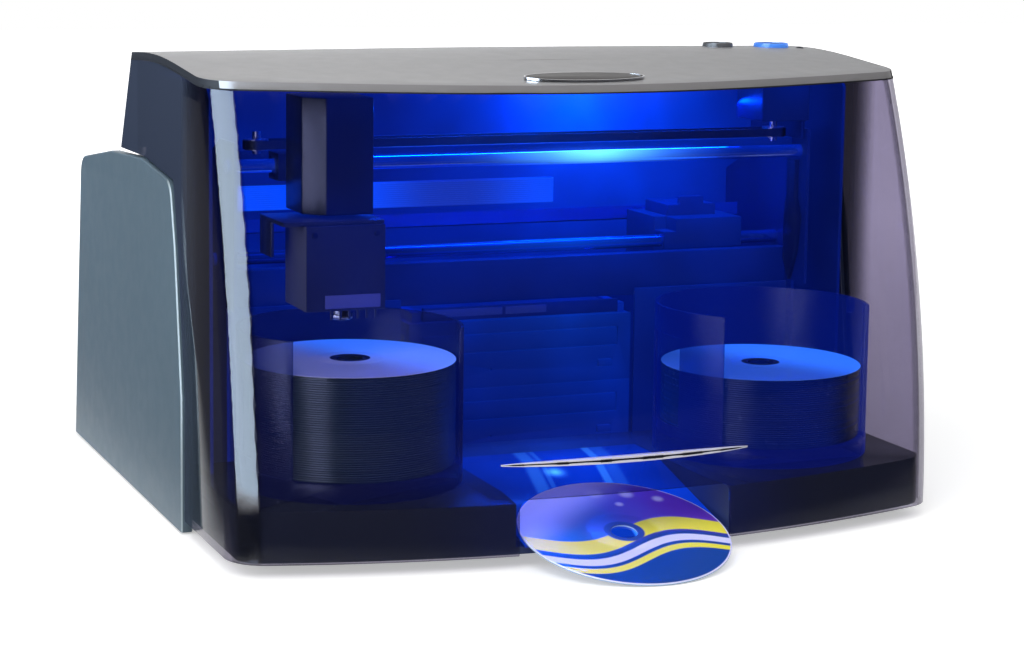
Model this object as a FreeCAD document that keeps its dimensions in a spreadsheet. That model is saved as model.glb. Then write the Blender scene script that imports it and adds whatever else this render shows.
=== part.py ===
import FreeCAD, Part
import math
import os
import Sketcher
from FreeCAD import Placement, Rotation, Vector

# Disc label printer: a desk-top robot that takes blank discs from one bin, burns them in two
# drives, prints their faces and drops them down a chute. Millimetres, +Z up, front towards -Y.
# The origin is on the table, under the middle of the machine with its ejected disc.

# ---------------------------------------------------------------- driving dimensions
SIZES = {
    # standing
    "foot_height": 8, "foot_radius": 10, "foot_inset": 34,
    # smoked lid: plan arc of the front wall, its lean and its walls
    "lid_half_width": 217, "lid_wall": 3, "lid_corner": 24, "lid_front": -186.4,
    "front_plan_radius": 690, "front_lean_radius": 683,
    # top panel: heights of its side edges and of its crown from front to back
    "panel_thick": 4, "brow_edge": 263.5, "brow_crown": 259.5, "shoulder_y": -62,
    "shoulder_edge": 266, "shoulder_crown": 269, "ridge_y": 20, "ridge_edge": 271.3,
    "ridge_crown": 273.3, "tail_y": 70, "tail_edge": 269.6, "tail_crown": 270.2,
    # seam between the lid's side walls and the cheeks
    "lid_seam": 1.2,
    # lid hinge
    "hinge_y": 104, "hinge_z": 203, "hinge_pin_radius": 2.5, "hinge_pin_length": 24,
    "hinge_step": 62, "lid_heel_y": 101, "lid_heel_z": 209, "ear_width": 9,
    # cut-out in the lid over the chute, finger pull and badge
    "arch_half_width": 64.5, "arch_top": 39, "pull_half_width": 75, "pull_height": 4,
    "pull_z": 58.5, "pull_depth": 3.5, "badge_half_length": 36, "badge_half_width": 13,
    "badge_y": -115, "badge_thick": 1.2, "badge_bed": 0.2,
    # buttons in the top panel
    "button_step": 27, "power_button_radius": 11.2, "button_pitch": 38.5,
    "feed_button_radius": 9.7, "button_y": 16, "button_proud": 2.6, "button_seat": 1.2,
    "button_flange": 1.2, "button_lip": 1.5,
    # side cheeks and rear housing
    "cheek_step": 5, "cheek_thick": 7, "cheek_round": 1.5, "cheek_front_low": -50, "cheek_low_z": 1,
    "cheek_front_z": 80, "cheek_nose_y": -38, "cheek_nose_z": 164, "cheek_brow_y": -28,
    "cheek_brow_z": 201, "cheek_top_y": 40, "cheek_top_z": 208, "cheek_rear_y": 122,
    "cheek_rear_z": 205, "cheek_back_y": 210, "cheek_back_z": 193, "cheek_low_y": 237.5,
    "cheek_corner": 14, "housing_inset": 3, "housing_wall": 2.5, "housing_front": 109,
    "gutter_front": 92, "gutter_low": 194, "gutter_thick": 2.8, "gutter_step": 2.5,
    # base tray and its deck
    "deck_top": 36, "deck_thick": 4, "base_gap": 1.5,
    "floor_thick": 4, "deck_back": -30, "base_wall": 4,
    # chute
    "chute_half_width": 65, "chute_neck": 61.5, "chute_neck_y": -150, "chute_back": -62,
    "chute_slope": 13.6, "chute_floor_thick": 2,
    # discs and bins
    "disc_radius": 60, "disc_bore": 7.5, "disc_thick": 1.2, "disc_pitch": 1.25,
    "bin_step": 86.1, "bin_y": -90, "bin_radius": 64.3, "bin_wall": 2.3, "bin_top": 124,
    "bin_floor": 10.5, "left_discs": 47, "right_discs": 33, "bin_gap_low": 222,
    "bin_gap_high": 334, "bin_window_low": 159, "bin_window_high": 194,
    "bin_window_sill": 18, "bin_window_head": 16, "printed_y": -179, "printed_z": 15,
    # chassis
    "side_plate_step": 8.5, "side_plate_thick": 2, "side_plate_front": -57,
    "side_plate_back": 100, "frame_step": 19.5, "frame_thick": 2,
    "frame_front": -46, "rear_wall_y": 62, "rear_wall_thick": 2, "rear_wall_low": 122,
    "works_headroom": 8.6, "bay_panel_y": -25, "bay_panel_thick": 2, "bay_panel_top": 125.5,
    "bay_inner_x": 77, "lamp_half": 60, "lamp_height": 10,
    "lamp_thick": 1.6, "lamp_drop": 4, "lens_pitch": 24, "lens_size": 5, "lens_proud": 2,
    # optical drives
    "drive_front": -28, "drive_half_width": 73, "drive_height": 41.3, "drive_low": 28,
    "drive_gap": 0.2, "drive_depth": 165, "bezel_thick": 5, "drive_wall": 1,
    "tray_half_width": 64, "tray_height": 11, "tray_rise": 22, "tray_depth": 136,
    "tray_face_thick": 3, "tray_travel_gap": 0.4, "disc_recess": 61, "eject_x": 56,
    "eject_drop": 11, "eject_half": 5, "eject_tall": 2.5, "pinhole_radius": 0.8,
    "pinhole_x": 20, "spindle_radius": 14, "spindle_height": 12, "spindle_slot": 16,
    "cage_wall": 1.5, "cage_gap": 0.3,
    # printer
    "printer_tray_low": 112, "printer_tray_height": 8, "printer_tray_depth": 136,
    "beam_low": 121, "beam_top": 147, "beam_front": -22, "beam_depth": 9,
    "print_rod_y": -6, "print_rod_z": 152, "rod_radius": 4, "print_belt_y": 50,
    "print_belt_z": 152, "belt_width": 5, "belt_thick": 1, "pulley_radius": 7,
    "pulley_shaft": 2.5, "pulley_step": 16, "print_car_step": 38, "print_car_half": 27,
    "print_car_low": 123, "print_car_top": 166, "print_car_front": -12,
    "print_car_back": 44, "cartridge_top": 173, "cartridge_half": 17, "strip_low": 160,
    "strip_height": 8, "strip_thick": 0.4, "carriage_floor": 3, "carriage_web": 5.7,
    # robot
    "robot_step": 32, "robot_rod_y": -36, "robot_rod_z": 209.6, "cross_beam_low": 211,
    "cross_beam_top": 217.5, "cross_beam_front": -27, "cross_beam_back": -18,
    "traverse_belt_z": 219, "column_half": 19.5, "column_front": -88,
    "column_back": -46.3, "column_low": 186, "column_top": 252, "column_corner": 11,
    "arm_half": 23.3, "arm_front": -98, "arm_back": -58, "arm_low": 133.5,
    "arm_top": 181.5, "mast_half": 6, "mast_front": -70, "mast_back": -60,
    "mast_gap": 0.4, "nose_radius": 6.4, "nose_low": 127.6, "ribbon_low": 183,
    "ribbon_high": 197.5, "ribbon_end": 16.5, "ribbon_thick": 0.6, "ribbon_bend": 4,
    "guard_thick": 3, "guard_front": -41, "guard_back": -23, "guard_low": 127,
    "guard_top": 204, "motor_half": 17, "motor_height": 23.7, "print_motor_radius": 18,
    "print_motor_length": 26, "block_half": 24, "mast_wing": 36, "mast_plate": 2.5,
    "tooth_count": 6, "tooth_pitch": 5.2, "tooth_width": 1.6, "tooth_drop": 5,
    # fits
    "running_gap": 0.05, "part_gap": 0.3,
    # rear connections
    "back_plate_y": 205, "back_plate_thick": 1.5, "back_plate_step": 32,
    "back_plate_top": 124, "window_step": 10, "window_low": 30,
    "window_top": 116, "fan_step": 70, "fan_z": 74, "fan_half": 30, "fan_depth": 15,
    "fan_bore": 28, "fan_blade_radius": 26, "inlet_step": 50, "socket_z": 60,
    "switch_step": 94, "usb_x": 20, "inlet_half": 13.5, "inlet_tall": 10, "inlet_depth": 22,
    "inlet_rim": 3.5, "usb_half": 6, "usb_tall": 5.5, "usb_depth": 16, "socket_wall": 1.6,
    "opening_gap": 0.3, "switch_half": 6.5, "switch_tall": 10, "switch_base": 4,
    "switch_clear": 1.2, "switch_wall": 1.6, "switch_pin_radius": 1.2, "switch_depth": 9,
    "fan_strut": 3, "fan_hub_radius": 11, "fan_blades": 7, "blade_thick": 1.6,
    "blade_pitch": 30, "grille_pitch": 12, "grille_bar": 2,
    # electronics on the floor
    "supply_half": 50, "supply_step": 68.5, "supply_front": 70, "supply_back": 180,
    "supply_height": 62, "board_half": 60, "board_front": 145, "board_back": 200,
    "board_thick": 1.6, "post_radius": 3, "post_height": 6, "post_inset": 6,
}

doc = FreeCAD.newDocument("disc_label_printer")
sheet = doc.addObject("Spreadsheet::Sheet", "Sizes")
for row, alias in enumerate(SIZES, start=1):
    sheet.set("A%d" % row, alias)
    sheet.set("B%d" % row, str(SIZES[alias]))
    sheet.setAlias("B%d" % row, alias)
doc.recompute()


class Term:
    """A length that knows its present value and the spreadsheet formula that gives it."""

    def __init__(self, value, formula):
        self.value = float(value)
        self.formula = formula

    def __add__(self, other):
        other = term(other)
        return Term(self.value + other.value, "(%s + %s)" % (self.formula, other.formula))

    def __radd__(self, other):
        return term(other) + self

    def __sub__(self, other):
        other = term(other)
        return Term(self.value - other.value, "(%s - %s)" % (self.formula, other.formula))

    def __rsub__(self, other):
        return term(other) - self

    def __mul__(self, other):
        other = term(other)
        return Term(self.value * other.value, "(%s * %s)" % (self.formula, other.formula))

    def __rmul__(self, other):
        return term(other) * self

    def __truediv__(self, other):
        other = term(other)
        return Term(self.value / other.value, "(%s / %s)" % (self.formula, other.formula))

    def __neg__(self):
        return Term(-self.value, "(0 - %s)" % self.formula)


def term(thing):
    """The Term of a plain number, or the Term itself."""
    if isinstance(thing, Term):
        return thing
    return Term(thing, repr(float(thing)))


class Sheet:
    """Gives each size of the spreadsheet as a Term: S.deck_top is the size deck_top."""

    def __getattr__(self, alias):
        return Term(sheet.get(alias), "Sizes.%s" % alias)


S = Sheet()
finished = []

# places across the machine, all counted inwards from the width of the lid
cheek_inner = S.lid_half_width - S.cheek_step
side_plate_x = cheek_inner - S.side_plate_step
frame_x = side_plate_x - S.frame_step
bay_outer_x = frame_x - S.part_gap
pulley_x = frame_x - S.pulley_step
gutter_half = side_plate_x - S.gutter_step
hinge_x = cheek_inner - S.hinge_step
bin_x = S.lid_half_width - S.bin_step
power_button_x = S.lid_half_width - S.button_step
feed_button_x = power_button_x - S.button_pitch
back_plate_half = cheek_inner - S.back_plate_step
window_half = back_plate_half - S.window_step
robot_x = S.robot_step - pulley_x
print_car_x = pulley_x - S.print_car_step
fan_x = back_plate_half - S.fan_step
inlet_x = S.inlet_step - back_plate_half
switch_x = S.switch_step - back_plate_half
supply_x = S.supply_step - side_plate_x


def bind(thing, prop, size):
    """Ties one property of an object to the formula of a size."""
    thing.setExpression(prop, term(size).formula)


def place(thing, x=0, y=0, z=0, turn=None):
    """Puts an object at a bound position, with an optional fixed rotation."""
    x, y, z = term(x), term(y), term(z)
    thing.Placement = Placement(Vector(x.value, y.value, z.value), turn or Rotation())
    for axis, size in (("x", x), ("y", y), ("z", z)):
        bind(thing, "Placement.Base." + axis, size)
    return thing


def keep(thing, label):
    """Marks an object as a finished sub-part whose file is named by its label."""
    thing.Label = label
    finished.append(thing)
    return thing


def box(name, x, y, z):
    """A box between the low and high bounds of each axis."""
    thing = doc.addObject("Part::Box", name)
    for prop, (low, high) in (("Length", x), ("Width", y), ("Height", z)):
        size = term(high) - term(low)
        setattr(thing, prop, size.value)
        bind(thing, prop, size)
    return place(thing, x[0], y[0], z[0])


TURNS = {"X": Rotation(Vector(0, 1, 0), 90), "Y": Rotation(Vector(1, 0, 0), -90), "Z": Rotation()}


def rod(name, axis, radius, start, length):
    """A cylinder from a start point along +X, +Y or +Z."""
    thing = doc.addObject("Part::Cylinder", name)
    for prop, size in (("Radius", term(radius)), ("Height", term(length))):
        setattr(thing, prop, size.value)
        bind(thing, prop, size)
    return place(thing, start[0], start[1], start[2], TURNS[axis])


def fuse(name, pieces):
    """One solid made of pieces that touch or overlap."""
    thing = doc.addObject("Part::MultiFuse", name)
    thing.Shapes = pieces
    thing.Refine = True
    return thing


def cut(name, base, tools):
    """A base piece with one or more tools taken away."""
    thing = doc.addObject("Part::Cut", name)
    thing.Base = base
    thing.Tool = tools[0] if len(tools) == 1 else fuse(name + "_tools", tools)
    return thing


def common(name, first, second):
    """What two pieces have in common."""
    thing = doc.addObject("Part::Common", name)
    thing.Base = first
    thing.Tool = second
    return thing


def group(name, pieces):
    """Separate solids kept together as one sub-part."""
    thing = doc.addObject("Part::Compound", name)
    thing.Links = pieces
    return thing


def origin_plane(body, role):
    """One of a body's own origin planes, found by its role."""
    return [plane for plane in body.Origin.OriginFeatures if plane.Role == role][0]


def outline_sketch(body, name, role, points, offset):
    """A closed outline of straight sides on an origin plane, every corner bound to sizes."""
    sketch = body.newObject("Sketcher::SketchObject", name)
    sketch.AttachmentSupport = (origin_plane(body, role), [""])
    sketch.MapMode = "FlatFace"
    offset = term(offset)
    sketch.AttachmentOffset = Placement(Vector(0, 0, offset.value), Rotation())
    bind(sketch, "AttachmentOffset.Base.z", offset)
    corners = [(term(u), term(v)) for u, v in points]
    count = len(corners)
    for index, (u, v) in enumerate(corners):
        u_next, v_next = corners[(index + 1) % count]
        line = Part.LineSegment(Vector(u.value, v.value, 0), Vector(u_next.value, v_next.value, 0))
        sketch.addGeometry(line, False)
    for index in range(count):
        sketch.addConstraint(Sketcher.Constraint("Coincident", index, 2, (index + 1) % count, 1))
    for index, corner in enumerate(corners):
        for kind, size in zip(("DistanceX", "DistanceY"), corner):
            number = sketch.addConstraint(Sketcher.Constraint(kind, -1, 1, index, 1, size.value))
            sketch.setExpression("Constraints[%d]" % number, size.formula)
    return sketch


def pad(name, role, outline, span):
    """A PartDesign body padded from an outline between two offsets along its plane's axis.

    On XZ_Plane the span runs along Y, on YZ_Plane along X and on XY_Plane along Z.
    """
    low, high = term(span[0]), term(span[1])
    body = doc.addObject("PartDesign::Body", name)
    offset = -high if role == "XZ_Plane" else low
    sketch = outline_sketch(body, name + "_outline", role, outline, offset)
    feature = body.newObject("PartDesign::Pad", name + "_pad")
    feature.Profile = sketch
    feature.Length = (high - low).value
    bind(feature, "Length", high - low)
    sketch.Visibility = False
    body.Tip = feature
    return body


def turned(name, outline, x, y, z, axis="Z"):
    """A PartDesign body turned about its own axis from an outline of (radius, height)."""
    body = doc.addObject("PartDesign::Body", name)
    sketch = outline_sketch(body, name + "_outline", "XZ_Plane", outline, 0)
    feature = body.newObject("PartDesign::Revolution", name + "_turn")
    feature.Profile = sketch
    feature.ReferenceAxis = (sketch, ["V_Axis"])
    feature.Angle = 360
    body.Tip = feature
    return place(body, x, y, z, TURNS[axis])


def soften(body, name, radius, wanted):
    """Rounds the edges of a body's last feature that the test picks out."""
    doc.recompute()
    base = body.Tip
    edges = ["Edge%d" % (i + 1) for i, edge in enumerate(base.Shape.Edges) if wanted(edge)]
    feature = body.newObject("PartDesign::Fillet", name)
    feature.Base = (base, edges)
    radius = term(radius)
    feature.Radius = radius.value
    bind(feature, "Radius", radius)
    body.Tip = feature
    return body


def along(edge, axis):
    """True for a straight edge that runs along one axis."""
    if not isinstance(edge.Curve, Part.Line):
        return False
    return abs(getattr(edge.Curve.Direction, axis)) > 0.999


def washer(outer, inner, thick):
    """The outline of a flat ring, to be turned."""
    return [(inner, 0), (outer, 0), (outer, thick), (inner, thick)]


def shape_part(label, shape):
    """A sub-part whose shape is worked out from the sheet by its own function."""
    thing = doc.addObject("Part::Feature", label)
    thing.Shape = shape
    return keep(thing, label)


# ---------------------------------------------------------------- lid
def front_centre():
    """The Y of the vertical axis that the curved front is turned about."""
    return S.lid_front.value + S.front_plan_radius.value


def front_radius_at(height, inset=0.0):
    """Distance of the leaning front surface from its vertical axis at a height."""
    lean = S.front_lean_radius.value
    rise = height - S.foot_height.value
    return S.front_plan_radius.value - lean + math.sqrt(lean ** 2 - rise ** 2) - inset


def front_y_at(x, height, inset=0.0):
    """Y of the front surface at a given x and height."""
    return front_centre() - math.sqrt(front_radius_at(height, inset) ** 2 - x ** 2)


def above_lid():
    """A height clear of every point of the top panel."""
    heights = (S.brow_edge, S.brow_crown, S.shoulder_edge, S.shoulder_crown, S.ridge_edge,
               S.ridge_crown, S.tail_edge, S.tail_crown)
    return max(height.value for height in heights) + 20


def lid_block(inset, corner):
    """The lid's front and sides as a solid block, moved inwards by an inset, with no top."""
    low = S.foot_height.value - inset
    high = above_lid()
    middle = (low + high) / 2
    back_radius = 0.35 * S.front_plan_radius.value
    points = [(front_radius_at(max(z, S.foot_height.value), inset), z) for z in (low, middle, high)]
    vectors = [Vector(0, -r, z) for r, z in points]
    face_edges = [
        Part.Arc(*vectors).toShape(),
        Part.LineSegment(vectors[2], Vector(0, -back_radius, high)).toShape(),
        Part.LineSegment(Vector(0, -back_radius, high), Vector(0, -back_radius, low)).toShape(),
        Part.LineSegment(Vector(0, -back_radius, low), vectors[0]).toShape(),
    ]
    face = Part.Face(Part.Wire(face_edges))
    sweep = 35
    face.rotate(Vector(0, 0, 0), Vector(0, 0, 1), -sweep)
    wedge = face.revolve(Vector(0, 0, 0), Vector(0, 0, 1), 2 * sweep)
    wedge.translate(Vector(0, front_centre(), 0))
    half = S.lid_half_width.value - inset
    depth = S.lid_heel_y.value - S.lid_front.value + 60
    bounds = Part.makeBox(2 * half, depth, high - low, Vector(-half, S.lid_front.value - 30, low))
    block = wedge.common(bounds)
    edges = []
    for edge in block.Edges:
        box_of_edge = edge.BoundBox
        at_side = abs(abs(edge.CenterOfMass.x) - half) < 0.01 and box_of_edge.XLength < 0.01
        if at_side and box_of_edge.ZLength > 100 and box_of_edge.YMax < S.shoulder_y.value:
            edges.append(edge)
    return block.makeFillet(corner, edges)


def under_top(drop):
    """Everything below the domed top surface, lowered by a drop."""
    half = S.lid_half_width.value + 10
    stations = [
        (S.lid_front.value - 54, S.brow_edge.value, S.brow_crown.value),
        (S.lid_front.value + 30, S.brow_edge.value, S.brow_crown.value),
        (S.shoulder_y.value, S.shoulder_edge.value, S.shoulder_crown.value),
        (S.ridge_y.value, S.ridge_edge.value, S.ridge_crown.value),
        (S.tail_y.value, S.tail_edge.value, S.tail_crown.value),
        (S.lid_heel_y.value + 10, S.tail_edge.value, S.tail_crown.value),
    ]
    wires = []
    for y, edge, crown in stations:
        left = Vector(-half, y, edge - drop)
        right = Vector(half, y, edge - drop)
        arch = Part.Arc(left, Vector(0, y, crown - drop), right).toShape()
        down = Part.LineSegment(right, Vector(half, y, -20)).toShape()
        under = Part.LineSegment(Vector(half, y, -20), Vector(-half, y, -20)).toShape()
        up = Part.LineSegment(Vector(-half, y, -20), left).toShape()
        wires.append(Part.Wire([arch, down, under, up]))
    return Part.makeLoft(wires, True, False)


def surface_at(x, y):
    """Z of the domed top surface over a point."""
    upright = Part.makeLine(Vector(x, y, S.deck_top.value), Vector(x, y, above_lid()))
    return upright.common(under_top(0)).BoundBox.ZMax


def side_view(points, half_width):
    """A prism across X from an outline seen from the side."""
    corners = [Vector(-half_width, y, z) for y, z in points]
    face = Part.Face(Part.makePolygon(corners + corners[:1]))
    return face.extrude(Vector(2 * half_width, 0, 0))


def lid_region():
    """The side outline that the lid's walls stay within, a seam clear of the cheeks."""
    high = above_lid() + 10
    ahead = S.lid_front.value - 60
    seam = S.lid_seam.value
    front = S.cheek_front_low.value - seam
    return side_view([
        (ahead, S.foot_height.value), (front, S.foot_height.value),
        (front - 1, S.cheek_front_z.value), (S.cheek_nose_y.value - seam, S.cheek_nose_z.value),
        (S.cheek_brow_y.value - seam, S.cheek_brow_z.value + seam),
        (S.cheek_top_y.value, S.cheek_top_z.value + seam), (S.lid_heel_y.value, S.lid_heel_z.value),
        (S.tail_y.value, S.tail_edge.value), (S.tail_y.value, high), (ahead, high),
    ], S.lid_half_width.value + 30)


def make_lid():
    """The smoked window, its top panel and the plate that closes it behind."""
    wall = S.lid_wall.value
    outer = lid_block(0, S.lid_corner.value)
    inner = lid_block(wall, S.lid_corner.value - wall)
    region = lid_region()
    walls = outer.cut(inner).common(under_top(S.panel_thick.value)).common(region)
    arch_half = S.arch_half_width.value
    arch = Part.makeBox(2 * arch_half, 120, S.arch_top.value + 20,
                        Vector(-arch_half, S.lid_front.value - 40, -20))
    arch_edges = [e for e in arch.Edges if along(e, "y") and e.CenterOfMass.z > 0]
    arch = arch.makeFillet(6, arch_edges)
    shape_part("lid_window", walls.cut(arch).removeSplitter())

    top = outer.common(under_top(0)).cut(under_top(S.panel_thick.value)).common(region)
    for x, radius in ((power_button_x, S.power_button_radius),
                      (feed_button_x, S.feed_button_radius)):
        hole = Part.makeCylinder((radius + S.part_gap).value, above_lid(),
                                 Vector(x.value, S.button_y.value, 0))
        top = top.cut(hole)
    shape_part("lid_top_panel", top.removeSplitter())

    half = S.lid_half_width.value - wall
    slope_run = S.lid_heel_y.value - S.tail_y.value
    slope_rise = S.tail_edge.value - S.lid_heel_z.value
    thick = wall * math.hypot(slope_run, slope_rise) / slope_rise
    tail_low = S.tail_edge.value - 6
    tail_shift = 6 * slope_run / slope_rise
    back = side_view([
        (S.tail_y.value + tail_shift, tail_low), (S.lid_heel_y.value, S.lid_heel_z.value),
        (S.lid_heel_y.value - thick, S.lid_heel_z.value),
        (S.tail_y.value + tail_shift - thick, tail_low),
    ], half).common(under_top(S.panel_thick.value))
    pin_hole_radius = S.hinge_pin_radius.value + S.running_gap.value
    for side in (-1, 1):
        ear_low = side * hinge_x.value - S.ear_width.value / 2
        ear = side_view([
            (S.hinge_y.value - 6, S.hinge_z.value - 3), (S.hinge_y.value - 9, S.lid_heel_z.value + 2),
            (S.lid_heel_y.value - 2, S.lid_heel_z.value + 4),
            (S.lid_heel_y.value, S.lid_heel_z.value), (S.hinge_y.value + 4, S.hinge_z.value + 2),
            (S.hinge_y.value + 4, S.hinge_z.value - 4), (S.hinge_y.value, S.hinge_z.value - 5.5),
        ], S.ear_width.value / 2)
        ear.translate(Vector(ear_low + S.ear_width.value / 2, 0, 0))
        back = back.fuse(ear)
    for side in (-1, 1):
        hole = Part.makeCylinder(pin_hole_radius, S.ear_width.value + 8,
                                 Vector(side * hinge_x.value - S.ear_width.value / 2 - 4,
                                        S.hinge_y.value, S.hinge_z.value), Vector(1, 0, 0))
        back = back.cut(hole)
    shape_part("lid_back_plate", back.removeSplitter())


def make_badge():
    """A bare oval lens let on to the top panel near its front edge."""
    long_half, short_half = S.badge_half_length.value, S.badge_half_width.value
    oval = Part.Ellipse(Vector(0, S.badge_y.value, 0), long_half, short_half).toShape()
    column = Part.Face(Part.Wire([oval])).extrude(Vector(0, 0, above_lid()))
    bed = S.badge_bed.value
    raised = column.common(under_top(-bed - S.badge_thick.value)).cut(under_top(-bed))
    shape_part("lid_badge", raised)


def make_pull():
    """A thin crescent grip bar on the lower front of the window."""
    half = S.pull_half_width.value
    low, high = S.pull_z.value - S.pull_height.value / 2, S.pull_z.value + S.pull_height.value / 2
    centre = Vector(0, front_centre(), low)
    height = high - low
    skin = front_radius_at(low)
    disc = Part.makeCylinder(skin + S.pull_depth.value, height, centre)
    bow_rise = front_y_at(half, low) - front_y_at(0, low) + S.pull_depth.value
    bow_radius = (half ** 2 + bow_rise ** 2) / (2 * bow_rise)
    bow_front = front_y_at(0, low) - S.pull_depth.value
    bow = Part.makeCylinder(bow_radius, height, Vector(0, bow_front + bow_radius, low))
    strip = Part.makeBox(2 * half, 60, height, Vector(-half, S.lid_front.value - 20, low))
    bar = disc.common(bow).common(strip).cut(lid_block(0, S.lid_corner.value))
    shape_part("finger_pull", bar)


make_lid()
make_badge()
make_pull()


# ---------------------------------------------------------------- outer casing
base_low = S.foot_height
floor_top = S.foot_height + S.floor_thick
deck_low = S.deck_top - S.deck_thick


def tray_front():
    """The deck and its curved skirt, following the inside of the lid, hollow underneath."""
    inset = (S.lid_wall + S.base_gap).value
    wall = S.base_wall.value
    front, back = S.lid_front.value - 20, S.deck_back.value
    half = (cheek_inner - S.part_gap).value

    def slice_of(extra, low, high, rear):
        bounds = Part.makeBox(2 * half, rear - front, high - low, Vector(-half, front, low))
        corner = S.lid_corner.value - inset - extra
        return lid_block(inset + extra, corner).common(bounds)

    solid = slice_of(0, base_low.value, S.deck_top.value, back)
    hollow = slice_of(wall, floor_top.value, deck_low.value, back + 1)
    return solid.cut(hollow)


def base_tray():
    """The dark tray: a deck with a curved front skirt, notched for the chute, and a floor."""
    front_shell = doc.addObject("Part::Feature", "base_front_shell")
    front_shell.Shape = tray_front()
    neck, mouth = S.chute_neck, S.chute_half_width
    notch = pad("base_notch", "XY_Plane", [
        (-mouth, S.lid_front - 30), (mouth, S.lid_front - 30), (mouth, S.lid_front + 6),
        (neck, S.chute_neck_y), (neck, S.chute_back), (-neck, S.chute_back),
        (-neck, S.chute_neck_y), (-mouth, S.lid_front + 6),
    ], (floor_top, S.deck_top + 1))
    wall = S.base_wall
    walls = pad("base_chute_walls", "XY_Plane", [
        (-mouth - wall, S.lid_front + 8), (mouth + wall, S.lid_front + 8),
        (neck + wall, S.chute_neck_y), (neck + wall, S.chute_back + wall),
        (-neck - wall, S.chute_back + wall), (-neck - wall, S.chute_neck_y),
    ], (base_low, deck_low))
    walled = fuse("base_walled", [front_shell, walls])
    notched = cut("base_notched", walled, [notch])
    floor = box("base_floor", (-cheek_inner, cheek_inner), (S.deck_back, back_reach),
                (base_low, floor_top))
    keep(fuse("base_whole", [notched, floor]), "base_tray")


back_reach = S.cheek_low_y - S.housing_inset - S.housing_wall - 2


def chute():
    """The sloping floor that a finished disc slides out on."""
    drop = Term(math.tan(math.radians(S.chute_slope.value)), "tan(Sizes.chute_slope * 1 deg)")
    gap = S.part_gap
    front_y = S.lid_front + 4
    lift = S.disc_thick / 2 + 0.15
    front_z = S.printed_z - lift + (front_y - S.printed_y) * drop
    top_y = front_y + (S.deck_top - front_z) / drop
    thick = S.chute_floor_thick
    under_y = front_y + (floor_top + thick - front_z) / drop
    ramp = pad("chute_ramp_body", "YZ_Plane", [
        (front_y, front_z), (top_y, S.deck_top), (S.chute_back - gap, S.deck_top),
        (S.chute_back - gap, floor_top), (S.chute_back - gap - thick, floor_top),
        (S.chute_back - gap - thick, S.deck_top - thick), (top_y, S.deck_top - thick),
        (under_y, floor_top), (front_y, floor_top),
    ], (gap - S.chute_neck, S.chute_neck - gap))
    keep(ramp, "chute_ramp")


def feet():
    """Four soft pads under the corners of the tray."""
    pads = []
    across = S.lid_half_width - S.lid_wall - S.base_gap - S.foot_inset
    front = S.lid_front + 2 * S.foot_inset
    back = S.cheek_low_y - S.foot_inset
    for index, (x, y) in enumerate([(-across, front), (across, front), (-across, back), (across, back)]):
        pads.append(turned("foot_%d" % (index + 1), [
            (0, 0), (S.foot_radius - 1.5, 0), (S.foot_radius, 1.5), (S.foot_radius, S.foot_height),
            (0, S.foot_height)], x, y, 0))
    keep(group("feet_group", pads), "rubber_feet")


def cheeks():
    """The two solid side cheeks that frame the casing."""
    outline = [
        (S.cheek_front_low, S.cheek_low_z), (S.cheek_front_low - 1, S.cheek_front_z),
        (S.cheek_nose_y, S.cheek_nose_z), (S.cheek_brow_y, S.cheek_brow_z),
        (S.cheek_top_y, S.cheek_top_z), (S.cheek_rear_y, S.cheek_rear_z),
        (S.cheek_back_y, S.cheek_back_z), (S.cheek_low_y, S.cheek_low_z),
    ]
    for side, label in ((-1, "side_cheek_left"), (1, "side_cheek_right")):
        near, far = side * cheek_inner, side * (cheek_inner + S.cheek_thick)
        span = (near, far) if side > 0 else (far, near)
        cheek = pad(label + "_body", "YZ_Plane", outline, span)
        corner_z = 0.75 * S.cheek_back_z.value
        soften(cheek, label + "_corners", S.cheek_corner,
               lambda edge: along(edge, "x") and edge.CenterOfMass.z > corner_z
               and (edge.CenterOfMass.y < S.cheek_nose_y.value + 11.5
                    or edge.CenterOfMass.y > S.cheek_rear_y.value + 20)
               and abs(edge.CenterOfMass.z - S.cheek_nose_z.value) > 1)
        outer_x = far.value
        soften(cheek, label + "_edge", S.cheek_round,
               lambda edge: abs(edge.BoundBox.XMin - outer_x) < 0.01
               and abs(edge.BoundBox.XMax - outer_x) < 0.01 and edge.BoundBox.ZMax > S.cheek_low_z.value + 1)
        keep(cheek, label)


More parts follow.
